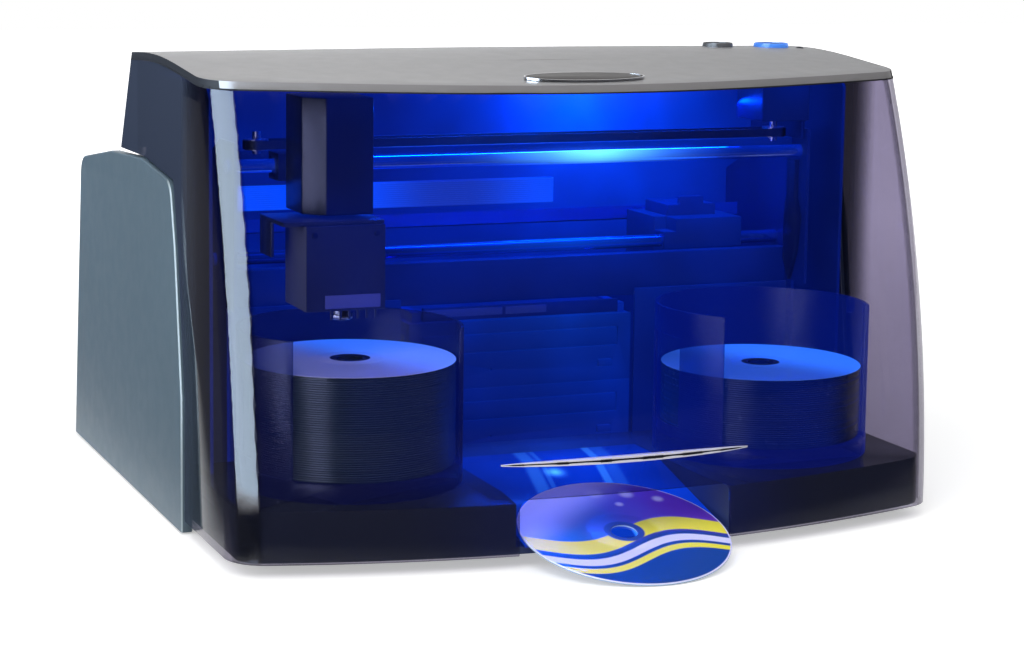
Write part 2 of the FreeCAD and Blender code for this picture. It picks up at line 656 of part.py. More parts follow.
def rear_housing():
    """The top and back of the rear casing, one bent shell with a window for the back plate."""
    inset, wall = S.housing_inset, S.housing_wall
    shell = pad("housing_shell", "YZ_Plane", [
        (S.housing_front, S.cheek_rear_z - inset), (S.cheek_rear_y, S.cheek_rear_z - inset),
        (S.cheek_back_y - inset, S.cheek_back_z - inset), (S.cheek_low_y - inset, base_low),
        (S.cheek_low_y - inset - wall, base_low),
        (S.cheek_back_y - inset - wall, S.cheek_back_z - inset - wall),
        (S.cheek_rear_y, S.cheek_rear_z - inset - wall),
        (S.housing_front, S.cheek_rear_z - inset - wall),
    ], (-cheek_inner, cheek_inner))
    window = box("housing_window", (-window_half, window_half),
                 (S.back_plate_y - 5, S.cheek_low_y + 10), (S.window_low, S.window_top))
    lug_top = S.cheek_rear_z - inset - wall
    gutter = box("rain_gutter", (-gutter_half, gutter_half), (S.gutter_front, S.housing_front + wall),
                 (S.gutter_low, S.gutter_low + S.gutter_thick))
    web = box("gutter_web", (-gutter_half, gutter_half), (S.housing_front, S.housing_front + wall),
              (S.gutter_low, lug_top + wall))
    pieces = [cut("housing_cut", shell, [window]), gutter, web]
    for side in (-1, 1):
        for step in (-1, 1):
            middle = side * hinge_x + step * (S.ear_width / 2 + S.part_gap + 3)
            lug = box("hinge_lug", (middle - 3, middle + 3), (S.hinge_y - 4, S.housing_front + 4),
                      (lug_top - 8, S.hinge_z + 3.5))
            pieces.append(lug)
    whole = fuse("housing_fused", pieces)
    bores = []
    for side in (-1, 1):
        bores.append(rod("hinge_bore", "X", S.hinge_pin_radius,
                         (side * hinge_x - S.hinge_pin_length / 2, S.hinge_y, S.hinge_z),
                         S.hinge_pin_length))
    keep(cut("housing_whole", whole, bores), "rear_housing")
    pins = []
    for side in (-1, 1):
        pins.append(rod("hinge_pin", "X", S.hinge_pin_radius,
                        (side * hinge_x - S.hinge_pin_length / 2 + 1, S.hinge_y, S.hinge_z),
                        S.hinge_pin_length - 2))
    keep(group("hinge_pin_pair", pins), "hinge_pins")


base_tray()
chute()
feet()
cheeks()
rear_housing()


# ---------------------------------------------------------------- chassis
lower_tail = S.tail_edge if S.tail_edge.value < S.tail_crown.value else S.tail_crown
works_top = lower_tail - S.panel_thick - S.works_headroom


def chassis():
    """Upright plates that carry the rods, the bay fronts and the tall rear wall."""
    plates = []
    for side, label in ((-1, "side_plate_left"), (1, "side_plate_right")):
        near, far = side * (side_plate_x - S.side_plate_thick), side * side_plate_x
        span = (near, far) if side > 0 else (far, near)
        plate = pad(label + "_body", "YZ_Plane", [
            (S.side_plate_front, S.deck_top), (S.side_plate_front, works_top - 6),
            (S.side_plate_front + 6, works_top), (S.rear_wall_y, works_top),
            (S.side_plate_back, S.hinge_z - 10), (S.side_plate_back, floor_top),
            (S.deck_back, floor_top), (S.deck_back, S.deck_top),
        ], span)
        plates.append(plate)
    keep(group("side_plate_pair", plates), "side_plates")
    wall_half = side_plate_x - S.side_plate_thick
    wall = box("rear_wall_sheet", (-wall_half, wall_half),
               (S.rear_wall_y, S.rear_wall_y + S.rear_wall_thick),
               (S.rear_wall_low, works_top))
    shaft_hole = rod("rear_wall_hole", "Y", S.pulley_shaft + 1.5,
                     (-pulley_x, S.rear_wall_y - 5, S.print_belt_z), 20)
    keep(cut("rear_wall_cut", wall, [shaft_hole]), "rear_wall")
    panels = []
    for side, label in ((-1, "bay_panel_left"), (1, "bay_panel_right")):
        near, far = side * S.bay_inner_x, side * bay_outer_x
        span = (near, far) if side > 0 else (far, near)
        panel = box(label + "_sheet", span, (S.bay_panel_y, S.bay_panel_y + S.bay_panel_thick),
                    (floor_top, S.bay_panel_top))
        panels.append(panel)
    keep(group("bay_panel_pair", panels), "bay_panels")
    face_y = S.rear_wall_y - S.lamp_thick
    lamp_top = works_top - S.lamp_drop
    lamp = box("lamp_sheet", (-S.lamp_half, S.lamp_half), (face_y, S.rear_wall_y),
               (lamp_top - S.lamp_height, lamp_top))
    lens_low = lamp_top - (S.lamp_height + S.lens_size) / 2
    lenses = []
    for step in range(-2, 3):
        middle = step * S.lens_pitch
        lenses.append(box("lamp_lens", (middle - S.lens_size / 2, middle + S.lens_size / 2),
                          (face_y - S.lens_proud, face_y), (lens_low, lens_low + S.lens_size)))
    keep(group("lamp_group", [lamp] + lenses), "lamp_board")


strip_y = S.print_car_back + 1


def frame_plates():
    """The two printer side plates, bored for the rods and their belts' shafts."""
    rod_fit = S.rod_radius + S.running_gap
    plates = []
    for side, label in ((-1, "frame_plate_left"), (1, "frame_plate_right")):
        near, far = side * frame_x, side * (frame_x + S.frame_thick)
        span = (near, far) if side > 0 else (far, near)
        plate = pad(label + "_body", "YZ_Plane", [
            (S.frame_front, S.bay_panel_top + 1), (S.frame_front, S.traverse_belt_z + 5),
            (S.frame_front + 30, S.traverse_belt_z + 5), (S.rear_wall_y, S.traverse_belt_z - 30),
            (S.rear_wall_y, floor_top), (S.deck_back, floor_top),
            (S.deck_back, S.bay_panel_top + 1),
        ], span)
        bores = [
            rod("rod_bore", "X", rod_fit, (span[0] - 1, S.robot_rod_y, S.robot_rod_z),
                S.frame_thick + 2),
            rod("rod_bore", "X", rod_fit, (span[0] - 1, S.print_rod_y, S.print_rod_z),
                S.frame_thick + 2),
        ]
        plates.append(cut(label + "_bored", plate, bores))
    keep(group("frame_plate_pair", plates), "frame_plates")
    length = 2 * frame_x + 2 * S.frame_thick + 4
    start = -length / 2
    keep(rod("robot_rod_bar", "X", S.rod_radius, (start, S.robot_rod_y, S.robot_rod_z), length),
         "robot_rod")
    keep(rod("print_rod_bar", "X", S.rod_radius, (start, S.print_rod_y, S.print_rod_z), length),
         "print_rod")
    beam = box("cross_beam_bar", (-frame_x, frame_x),
               (S.cross_beam_front, S.cross_beam_back), (S.cross_beam_low, S.cross_beam_top))
    front_beam = box("front_beam_bar", (-frame_x, frame_x),
                     (S.beam_front, S.beam_front + S.beam_depth), (S.beam_low, S.beam_top))
    keep(group("beam_pair", [beam, front_beam]), "frame_beams")
    strip = box("encoder_strip_film", (-frame_x, frame_x),
                (strip_y, strip_y + S.strip_thick), (S.strip_low, S.strip_low + S.strip_height))
    keep(strip, "encoder_strip")
    front, back, low, top = S.guard_front, S.guard_back, S.guard_low, S.guard_top
    guard = pad("belt_guard_plate", "YZ_Plane", [
        (front + 5, top - 24), (front + 5, top), (front + 15, top), (front + 15, top - 22),
        (back, top - 36), (back, low + 13), (back - 7, low), (front + 3, low + 19),
        (front, top - 36)], (frame_x - S.guard_thick, frame_x))
    keep(guard, "belt_guard")


chassis()
frame_plates()


# ---------------------------------------------------------------- discs and bins
def disc_shape(x, y, z):
    """One disc lying flat with its underside at z."""
    centre = Vector(x, y, z)
    body = Part.makeCylinder(S.disc_radius.value, S.disc_thick.value, centre)
    return body.cut(Part.makeCylinder(S.disc_bore.value, S.disc_thick.value, centre))


def stack(label, x, count):
    """A pile of loose discs, each held off the next by its stacking ring."""
    low = S.deck_top.value + S.bin_floor.value + (S.disc_pitch.value - S.disc_thick.value)
    discs = []
    for index in range(int(count.value)):
        discs.append(disc_shape(x.value, S.bin_y.value, low + index * S.disc_pitch.value))
    shape_part(label, Part.Compound(discs))


def sector(radius, low_angle, high_angle, low, high, x, y):
    """A wedge of a cylinder between two angles, as a cutting tool."""
    sweep = (high_angle - low_angle) % 360
    wedge = Part.makeCylinder(radius, high - low, Vector(0, 0, low), Vector(0, 0, 1), sweep)
    wedge.rotate(Vector(0, 0, 0), Vector(0, 0, 1), low_angle)
    wedge.translate(Vector(x, y, 0))
    return wedge


def bin_shape(x):
    """A disc bin: a floor and a round wall, open in front, with a window towards the left."""
    y, radius = S.bin_y.value, S.bin_radius.value
    low, high = S.deck_top.value, S.bin_top.value
    inner = radius - S.bin_wall.value
    cup = Part.makeCylinder(radius, high - low, Vector(x, y, low))
    hollow = Part.makeCylinder(inner, high - low, Vector(x, y, low + S.bin_floor.value))
    cup = cup.cut(hollow)
    floor_top_z = low + S.bin_floor.value
    mouth = sector(radius + 5, S.bin_gap_low.value, S.bin_gap_high.value, floor_top_z, high + 1, x, y)
    window = sector(radius + 5, S.bin_window_low.value, S.bin_window_high.value,
                    low + S.bin_window_sill.value, high - S.bin_window_head.value, x, y)
    cup = cup.cut(mouth).cut(window)
    well = Part.makeCylinder(S.disc_bore.value + 12, 2, Vector(x, y, floor_top_z - 1.5))
    return cup.cut(well)


for bin_side, bin_name, disc_count in ((-1, "left", S.left_discs), (1, "right", S.right_discs)):
    bin_middle = bin_side * bin_x
    shape_part("bin_" + bin_name, bin_shape(bin_middle.value))
    stack("disc_stack_" + bin_name, bin_middle, disc_count)

printed = turned("printed_disc_body", washer(S.disc_radius, S.disc_bore, S.disc_thick), 0, 0, 0)
printed.Placement = Placement(Vector(0, S.printed_y.value, S.printed_z.value - S.disc_thick.value / 2),
                              Rotation(Vector(1, 0, 0), S.chute_slope.value))
bind(printed, "Placement.Base.y", S.printed_y)
bind(printed, "Placement.Base.z", S.printed_z - S.disc_thick / 2)
bind(printed, "Placement.Rotation.Angle", Term(S.chute_slope.value, "Sizes.chute_slope * 1 deg"))
keep(printed, "printed_disc")


# ---------------------------------------------------------------- optical drives
def drive(label, low):
    """A half-height drive: folded case, front bezel, sliding disc tray and eject button."""
    half, wall = S.drive_half_width, S.drive_wall
    high = low + S.drive_height
    front = S.drive_front
    back = front + S.drive_depth
    tray_low, tray_high = low + S.tray_rise, low + S.tray_rise + S.tray_height
    fit = S.tray_travel_gap
    case = box(label + "_case_block", (-half, half), (front + S.bezel_thick, back), (low, high))
    cavity = box(label + "_cavity", (wall - half, half - wall),
                 (front + S.bezel_thick - 1, back - wall), (low + wall, high - wall))
    shell = cut(label + "_case_cut", case, [cavity])

    bezel = box(label + "_bezel_block", (-half, half), (front, front + S.bezel_thick), (low, high))
    slot = box(label + "_slot", (-S.tray_half_width - fit, S.tray_half_width + fit),
               (front - 1, front + S.bezel_thick + 1), (tray_low - fit, tray_high + fit))
    middle_z = low + S.eject_drop
    button_hole = box(label + "_button_hole", (S.eject_x - S.eject_half, S.eject_x + S.eject_half),
                      (front - 1, front + S.bezel_thick + 1),
                      (middle_z - S.eject_tall, middle_z + S.eject_tall))
    pinhole = rod(label + "_pinhole", "Y", S.pinhole_radius, (-S.pinhole_x, front - 1, middle_z),
                  2 * S.bezel_thick)
    keep(cut(label + "_bezel_cut", bezel, [slot, button_hole, pinhole]), "drive_bezel_" + label)

    tray = box(label + "_tray_block", (-S.tray_half_width, S.tray_half_width),
               (front, front + S.tray_depth), (tray_low, tray_high))
    over = box(label + "_tray_over", (-S.tray_half_width - 1, S.tray_half_width + 1),
               (front + S.tray_face_thick, front + S.tray_depth + 1),
               (tray_low + 5, tray_high + 1))
    recess_y = front + S.tray_face_thick + S.disc_recess + 2
    recess = rod(label + "_recess", "Z", S.disc_recess, (0, recess_y, tray_low + 3), 10)
    spindle_slot = box(label + "_spindle_slot", (-S.spindle_slot, S.spindle_slot),
                       (recess_y - S.spindle_slot, front + S.tray_depth + 1),
                       (tray_low - 1, tray_high))
    keep(cut(label + "_tray_cut", tray, [over, recess, spindle_slot]), "drive_tray_" + label)

    clear = S.part_gap
    stem = box(label + "_eject_cap", (S.eject_x - S.eject_half + clear, S.eject_x + S.eject_half - clear),
               (front - 1, front + S.bezel_thick - 1),
               (middle_z - S.eject_tall + clear, middle_z + S.eject_tall - clear))
    keep(stem, "eject_button_" + label)

    deck = box(label + "_deck_block", (wall - half, half - wall),
               (front + S.bezel_thick + 2, back - wall), (low + wall, low + wall + 3))
    radius, height = S.spindle_radius, S.spindle_height
    spindle = turned(label + "_spindle", [
        (0, 0), (radius, 0), (radius, height), (radius - 8, height), (radius - 8, height + 2),
        (0, height + 2),
    ], 0, recess_y, low + wall + 3)
    keep(fuse(label + "_case_whole", [shell, deck, spindle]), "drive_case_" + label)


drive("lower", S.drive_low)
drive("upper", S.drive_low + S.drive_height + S.drive_gap)

cage_half = S.drive_half_width + S.cage_gap + S.cage_wall
cage_inner = S.drive_half_width + S.cage_gap
cage_top = S.drive_low + 2 * S.drive_height + S.drive_gap
cage_span = (S.deck_back + 6, S.drive_front + S.drive_depth - 10)
cage_block = box("cage_block", (-cage_half, cage_half), cage_span, (floor_top, cage_top - 6))
cage_hollow = box("cage_hollow", (-cage_inner, cage_inner), (cage_span[0] - 1, cage_span[1] + 1),
                  (S.drive_low, cage_top))
cage_tunnel = box("cage_tunnel", (-cage_inner, cage_inner), (cage_span[0] - 1, cage_span[1] + 1),
                  (floor_top + S.cage_wall, S.drive_low - S.cage_wall))
keep(cut("cage_cut", cage_block, [cage_hollow, cage_tunnel]), "drive_cage")


# ---------------------------------------------------------------- printer
def printer_tray():
    """The sliding tray that carries one disc under the print head."""
    low, high = S.printer_tray_low, S.printer_tray_low + S.printer_tray_height
    front, back = S.drive_front, S.drive_front + S.printer_tray_depth
    half = S.tray_half_width
    plate = box("printer_tray_plate", (-half, half), (front, back), (low, low + 4))
    lip = box("printer_tray_lip", (-half, half), (front, front + 3), (low, high))
    recess = rod("printer_tray_recess", "Z", S.disc_radius + 0.5,
                 (0, front + 3 + S.disc_radius + 0.3, low + 2.4), 5)
    hub = rod("printer_tray_hub", "Z", S.disc_bore - 0.4,
              (0, front + 3 + S.disc_radius + 0.3, low + 1), 3.4)
    whole = fuse("printer_tray_fused", [plate, lip])
    keep(fuse("printer_tray_whole", [cut("printer_tray_cut", whole, [recess]), hub]), "printer_tray")
    rails = []
    for side in (-1, 1):
        near = side * (half + S.part_gap)
        far = side * (half + 6)
        span = (near, far) if side > 0 else (far, near)
        rails.append(box("tray_rail", span, (front + 4, back), (cage_top + 0.2, low + 5)))
    keep(group("tray_rail_pair", rails), "tray_rails")


def print_carriage():
    """The ink carriage on its rod, and the cartridge that drops into it."""
    x, half = print_car_x, S.print_car_half
    block = box("carriage_block", (x - half, x + half), (S.print_car_front, S.print_car_back),
                (S.print_car_low, S.print_car_top))
    tank_front = S.print_rod_y + S.rod_radius + S.carriage_web + 1.3
    tank_back = S.print_car_back - S.carriage_web - S.part_gap
    pocket = box("carriage_pocket", (x - S.cartridge_half - S.part_gap, x + S.cartridge_half + S.part_gap),
                 (tank_front - S.part_gap, tank_back + S.part_gap),
                 (S.print_car_low + S.carriage_floor, S.print_car_top + 1))
    bore = rod("carriage_bore", "X", S.rod_radius + S.running_gap,
               (x - half - 1, S.print_rod_y, S.print_rod_z), 2 * half + 2)
    nose = box("carriage_nose", (x - half - 1, x + half + 1), (S.print_car_front - 1, 2.5),
               (S.print_car_low - 1, S.beam_top + 0.5))
    step = box("carriage_step", (x - half - 1, x - half + 8), (S.print_car_front - 1, 2.5),
               (S.print_rod_z + 6, S.print_car_top + 1))
    clamp = box("carriage_clamp", (x - 8, x + 8), (S.print_car_back, S.print_belt_y + 3.2),
                (S.print_belt_z + 4, S.print_belt_z + 13))
    belt_clear = box("carriage_belt_clear", (x - 9, x + 9),
                     (S.print_belt_y - S.belt_width / 2 - 0.3, S.print_belt_y + S.belt_width / 2 + 0.3),
                     (S.print_belt_z + S.pulley_radius - 0.3,
                      S.print_belt_z + S.pulley_radius + S.belt_thick + 0.3))
    strip_clear = box("carriage_strip_clear", (x - half, x + half),
                      (strip_y - S.part_gap, strip_y + S.strip_thick + S.part_gap),
                      (S.strip_low - S.part_gap, S.strip_low + S.strip_height + S.part_gap))
    whole = fuse("carriage_fused", [block, clamp])
    keep(cut("carriage_cut", whole, [pocket, bore, nose, step, belt_clear, strip_clear]),
         "print_carriage")
    tank = box("cartridge_tank", (x - S.cartridge_half, x + S.cartridge_half),
               (tank_front, tank_back), (S.print_car_low + S.carriage_floor, S.cartridge_top))
    grip = box("cartridge_grip", (x - S.cartridge_half / 2, x + S.cartridge_half / 2),
               (tank_front, tank_front + 4), (S.cartridge_top, S.cartridge_top + 5))
    keep(fuse("cartridge_fused", [tank, grip]), "ink_cartridge")


def belt_loop(name, length_half, radius, width, centre, turn):
    """A flat belt round two pulleys, its loop lying in its own XY plane."""
    thick = S.belt_thick.value
    loops = []
    for r in (radius + thick, radius):
        first, last = Vector(-length_half, 0, 0), Vector(length_half, 0, 0)
        edges = [
            Part.LineSegment(first + Vector(0, r, 0), last + Vector(0, r, 0)).toShape(),
            Part.Arc(last + Vector(0, r, 0), last + Vector(r, 0, 0), last + Vector(0, -r, 0)).toShape(),
            Part.LineSegment(last + Vector(0, -r, 0), first + Vector(0, -r, 0)).toShape(),
            Part.Arc(first + Vector(0, -r, 0), first + Vector(-r, 0, 0), first + Vector(0, r, 0)).toShape(),
        ]
        loops.append(Part.Face(Part.Wire(edges)).extrude(Vector(0, 0, width)))
    belt = doc.addObject("Part::Feature", name)
    belt.Shape = loops[0].cut(loops[1])
    belt.Placement = Placement(centre, turn)
    return belt


def pulley(label, x, y, z, axis):
    """A belt pulley on its shaft, turned in one piece."""
    body_radius = S.pulley_radius - S.running_gap
    shaft = S.pulley_shaft
    outline = [(0, -3), (shaft, -3), (shaft, -0.6), (body_radius, -0.6),
               (body_radius, S.belt_width + 0.6), (shaft, S.belt_width + 0.6),
               (shaft, S.belt_width + 5), (0, S.belt_width + 5)]
    keep(turned(label + "_body", outline, x, y, z, axis), label)


printer_tray()
print_carriage()
flat_loop = Rotation(Vector(1, 0, 0), -90)
print_loop = belt_loop(
    "print_belt_loop", pulley_x.value, S.pulley_radius.value, S.belt_width.value,
    Vector(0, (S.print_belt_y - S.belt_width / 2).value, S.print_belt_z.value), flat_loop)
traverse_loop = belt_loop(
    "traverse_belt_loop", pulley_x.value, S.pulley_radius.value, S.belt_width.value,
    Vector(0, S.robot_rod_y.value + 6, S.traverse_belt_z.value), Rotation())
keep(group("belt_pair", [print_loop, traverse_loop]), "drive_belts")
pulley("print_pulley", -pulley_x, S.print_belt_y - S.belt_width / 2, S.print_belt_z, "Y")
pulley("print_idler", pulley_x, S.print_belt_y - S.belt_width / 2, S.print_belt_z, "Y")
pulley("traverse_pulley", pulley_x, S.robot_rod_y + 6, S.traverse_belt_z, "Z")
pulley("traverse_idler", -pulley_x, S.robot_rod_y + 6, S.traverse_belt_z, "Z")


# ---------------------------------------------------------------- robot
def robot():
    """The traverse block with its column, the arm that hangs from it and the gripper."""
    x = robot_x
    rod_y, rod_z = S.robot_rod_y, S.robot_rod_z
    gap = S.part_gap
    block_end = x + S.block_half
    block = box("traverse_block", (x - S.block_half, block_end),
                (S.column_back, S.cross_beam_front - gap), (rod_z - 8, S.cross_beam_top))
    tail = box("traverse_cable_tab", (block_end - 4, block_end), (S.column_back, rod_y - 2 - gap),
               (S.ribbon_low, rod_z - 7))
    near_run = rod_y + 6 - S.pulley_radius - S.belt_thick
    clamp = box("traverse_clamp", (x - 5, x + 5), (near_run - 3, near_run + S.belt_thick + 3),
                (S.cross_beam_top - 1, S.traverse_belt_z + S.belt_width + 2))
    belt_slot = box("traverse_belt_slot", (x - 6, x + 6),
                    (near_run - gap, near_run + S.belt_thick + gap),
                    (S.traverse_belt_z - gap, S.traverse_belt_z + S.belt_width + gap))
    bore = rod("traverse_bore", "X", S.rod_radius + S.running_gap, (x - S.block_half - 1, rod_y, rod_z),
               2 * S.block_half + 2)
    whole = fuse("traverse_fused", [block, tail, clamp])
    keep(cut("traverse_cut", whole, [bore, belt_slot]), "robot_carriage")

    half = S.column_half
    column = pad("column_body", "XY_Plane", [
        (x - half, S.column_back), (x - half, S.column_front + S.column_corner),
        (x - half + S.column_corner, S.column_front), (x + half, S.column_front),
        (x + half, S.column_back),
    ], (S.column_low, S.column_top))
    shaft = box("column_shaft", (x - S.mast_half - S.mast_gap, x + S.mast_half + S.mast_gap),
                (S.mast_front - S.mast_gap, S.mast_back + S.mast_gap),
                (S.column_low - 1, S.column_top - 4))
    keep(cut("column_cut", column, [shaft]), "robot_column")

    arm_half = S.arm_half
    arm = box("arm_block", (x - arm_half, x + arm_half), (S.arm_front, S.arm_back),
              (S.arm_low, S.arm_top))
    nose_bore = rod("arm_nose_bore", "Z", S.nose_radius - 1.4 + S.running_gap,
                    (x, S.bin_y, S.arm_low - 1), 20)
    comb_teeth = []
    tooth_pitch, tooth_width = S.tooth_pitch, S.tooth_width
    for index in range(int(S.tooth_count.value)):
        tooth_x = x - S.nose_radius - 2.6 + index * tooth_pitch
        comb_teeth.append(box("comb_tooth", (tooth_x, tooth_x + tooth_width),
                              (S.arm_front, S.bin_y - S.nose_radius - S.part_gap),
                              (S.arm_low - S.tooth_drop, S.arm_low)))
    keep(fuse("arm_whole", [cut("arm_cut", arm, [nose_bore])] + comb_teeth), "arm_box")

    plate_top = S.arm_top + S.mast_plate
    plate = box("mast_plate", (x - S.mast_wing, x + arm_half), (S.arm_front + 2, S.column_back - 4),
                (S.arm_top, plate_top))
    flange = box("mast_flange", (x - S.mast_wing, x - S.mast_wing + 2),
                 (S.arm_back - 14, S.column_back - 4), (S.arm_top - 20, plate_top))
    mast = box("mast_bar", (x - S.mast_half, x + S.mast_half), (S.mast_front, S.mast_back),
               (S.arm_top, S.column_top - 8))
    keep(fuse("mast_whole", [plate, flange, mast]), "arm_mast")

    nose = turned("gripper_nose_body", [
        (0, 0), (S.nose_radius - 1.2, 0), (S.nose_radius, 1.2), (S.nose_radius, 3),
        (S.nose_radius - 1.4, 3), (S.nose_radius - 1.4, 16), (0, 16)], x, S.bin_y, S.nose_low)
    keep(nose, "gripper_nose")


def ribbon():
    """The flat cable loop, standing on edge between the traverse block and the frame."""
    low, high, thick = S.ribbon_low, S.ribbon_high, S.ribbon_thick
    y_front = S.robot_rod_y - 2
    bend = S.ribbon_bend.value
    start = robot_x + S.block_half
    back_start = -frame_x
    edges = []
    for r in (bend, bend - thick.value):
        mid_y = y_front.value + bend
        end = S.ribbon_end.value - bend
        front_left = Vector(start.value, mid_y - r, low.value)
        front_end = Vector(end, mid_y - r, low.value)
        tip = Vector(end + r, mid_y, low.value)
        back_end = Vector(end, mid_y + r, low.value)
        back_left = Vector(back_start.value, mid_y + r, low.value)
        edges.append((front_left, front_end, tip, back_end, back_left))
    outer, inner = edges
    wire = Part.Wire([
        Part.LineSegment(outer[0], outer[1]).toShape(),
        Part.Arc(outer[1], outer[2], outer[3]).toShape(),
        Part.LineSegment(outer[3], outer[4]).toShape(),
        Part.LineSegment(outer[4], inner[4]).toShape(),
        Part.LineSegment(inner[4], inner[3]).toShape(),
        Part.Arc(inner[3], inner[2], inner[1]).toShape(),
        Part.LineSegment(inner[1], inner[0]).toShape(),
        Part.LineSegment(inner[0], outer[0]).toShape(),
    ])
    shape_part("ribbon_cable", Part.Face(wire).extrude(Vector(0, 0, (high - low).value)))


def motors():
    """The two belt motors: one under the lid at the right, one behind the rear wall."""
    y = S.robot_rod_y + 6
    shaft_top = S.traverse_belt_z + S.belt_width + 5
    half = S.motor_half
    body = box("traverse_motor_body", (pulley_x - half, frame_x), (y - half, y + half),
               (shaft_top + S.part_gap, shaft_top + S.part_gap + S.motor_height))
    hanger = box("traverse_motor_hanger", (frame_x - 2.5, frame_x),
                 (y - 12, y + half), (S.cross_beam_top, shaft_top + 2))
    first = fuse("traverse_motor_fused", [body, hanger])
    back_y = S.rear_wall_y + S.rear_wall_thick
    second = rod("print_motor_body", "Y", S.print_motor_radius,
                 (-pulley_x, back_y, S.print_belt_z), S.print_motor_length)
    keep(group("motor_pair", [first, second]), "belt_motors")


def button(label, x, radius):
    """A round push button let into the top panel."""
    surface = term(surface_at(x.value, S.button_y.value))
    flange_top = surface - S.panel_thick - S.button_seat
    flange = S.button_flange
    height = S.button_proud + S.panel_thick + S.button_seat + flange
    cap = turned(label + "_body", [
        (0, 0), (radius + S.button_lip, 0), (radius + S.button_lip, flange), (radius, flange),
        (radius, height - 1), (radius - 1, height), (0, height),
    ], x, S.button_y, flange_top - flange)
    keep(cap, label)


# ---------------------------------------------------------------- rear connections
switch_rim = S.switch_clear + S.switch_wall


def back_plate():
    """The steel plate behind the window, pierced for the fan, the sockets and the switch."""
    y, thick, gap = S.back_plate_y, S.back_plate_thick, S.opening_gap
    plate = box("back_plate_sheet", (-back_plate_half, back_plate_half), (y, y + thick),
                (floor_top, S.back_plate_top))
    openings = [rod("fan_opening", "Y", S.fan_bore, (fan_x, y - 2, S.fan_z), thick + 4)]
    for name, x, half, tall in (("inlet", inlet_x, S.inlet_half, S.inlet_tall),
                                ("switch", switch_x, S.switch_half + switch_rim,
                                 S.switch_tall + switch_rim),
                                ("usb", S.usb_x, S.usb_half, S.usb_tall)):
        openings.append(box(name + "_opening", (x - half - gap, x + half + gap), (y - 1, y + thick + 1),
                            (S.socket_z - tall - gap, S.socket_z + tall + gap)))
    reach = S.fan_bore + 1
    bars = []
    for step in (-1, 0, 1):
        middle = S.fan_z + step * S.grille_pitch
        bars.append(box("fan_bar_across", (fan_x - reach, fan_x + reach), (y, y + thick),
                        (middle - S.grille_bar / 2, middle + S.grille_bar / 2)))
    pierced = cut("back_plate_cut", plate, openings)
    keep(fuse("back_plate_whole", [pierced] + bars), "back_plate")


def fan():
    """The cooling fan: a square frame with one strut, and a bladed rotor on the Y axis."""
    back, front = S.back_plate_y, S.back_plate_y - S.fan_depth
    x, z, half, strut = fan_x, S.fan_z, S.fan_half, S.fan_strut
    frame = box("fan_frame_block", (x - half, x + half), (front, back), (z - half, z + half))
    frame_bore = rod("fan_frame_bore", "Y", S.fan_bore, (x, front - 1, z), S.fan_depth + 2)
    bar = box("fan_strut_bar", (x - S.fan_bore - 1, x + S.fan_bore + 1), (front, front + 2),
              (z - strut / 2, z + strut / 2))
    seat = rod("fan_motor_seat", "Y", S.fan_hub_radius + 1, (x, front, z), 2)
    frame_open = cut("fan_frame_cut", frame, [frame_bore])
    keep(fuse("fan_frame_whole", [frame_open, bar, seat]), "fan_frame")

    hub_y = front + 2 + S.part_gap
    hub_length = S.fan_depth - 4
    hub = rod("fan_hub", "Y", S.fan_hub_radius, (x, hub_y, z), hub_length)
    root = S.fan_hub_radius - 3
    blades = []
    for index in range(int(S.fan_blades.value)):
        angle = 360.0 / S.fan_blades.value * index
        blade = box("fan_blade", (0, S.fan_blade_radius - root), (0, hub_length - 1), (0, S.blade_thick))
        pitch = Rotation(Vector(1, 0, 0), S.blade_pitch.value)
        turn = Rotation(Vector(0, 1, 0), angle)
        reach = turn.multVec(Vector(root.value, 0, 0))
        place(blade, x + reach.x, hub_y + 1, z + (reach.z - 1), turn.multiply(pitch))
        blades.append(blade)
    sweep = rod("fan_sweep", "Y", S.fan_blade_radius, (x, hub_y, z), hub_length)
    keep(common("fan_rotor_trim", fuse("fan_rotor_fused", [hub] + blades), sweep), "fan_rotor")


def sockets():
    """The power inlet with its three blades and the data socket, set in the back plate."""
    y, thick, z, wall = S.back_plate_y, S.back_plate_thick, S.socket_z, S.socket_wall
    x, half, tall = inlet_x, S.inlet_half, S.inlet_tall
    rim = S.inlet_rim
    inlet = box("inlet_block", (x - half, x + half), (y - S.inlet_depth, y + thick), (z - tall, z + tall))
    flange = box("inlet_flange", (x - half - rim, x + half + rim), (y + thick, y + thick + 2),
                 (z - tall - rim, z + tall + rim))
    well_back = y - S.inlet_depth + 7
    well = box("inlet_well", (x - half + wall, x + half - wall), (well_back, y + thick + 3),
               (z - tall + 2, z + tall - 2))
    prongs = []
    for step, rise in ((-1, -1.5), (0, 0), (1, -1.5)):
        prongs.append(box("inlet_prong", (x + step * half / 2 - 1, x + step * half / 2 + 1),
                          (well_back - 1, y - 1), (z + rise - 2, z + rise + 2)))
    inlet_body = cut("inlet_cut", fuse("inlet_fused", [inlet, flange]), [well])
    inlet_whole = fuse("inlet_whole", [inlet_body] + prongs)
    x, half, tall = S.usb_x, S.usb_half, S.usb_tall
    shell = box("usb_shell", (x - half, x + half), (y - S.usb_depth, y + thick + 1), (z - tall, z + tall))
    usb_well = box("usb_well", (x - half + wall, x + half - wall), (y - S.usb_depth + 6, y + thick + 3),
                   (z - tall + wall, z + tall - wall))
    keep(group("socket_group", [inlet_whole, cut("usb_cut", shell, [usb_well]), switch_frame()]),
         "rear_sockets")


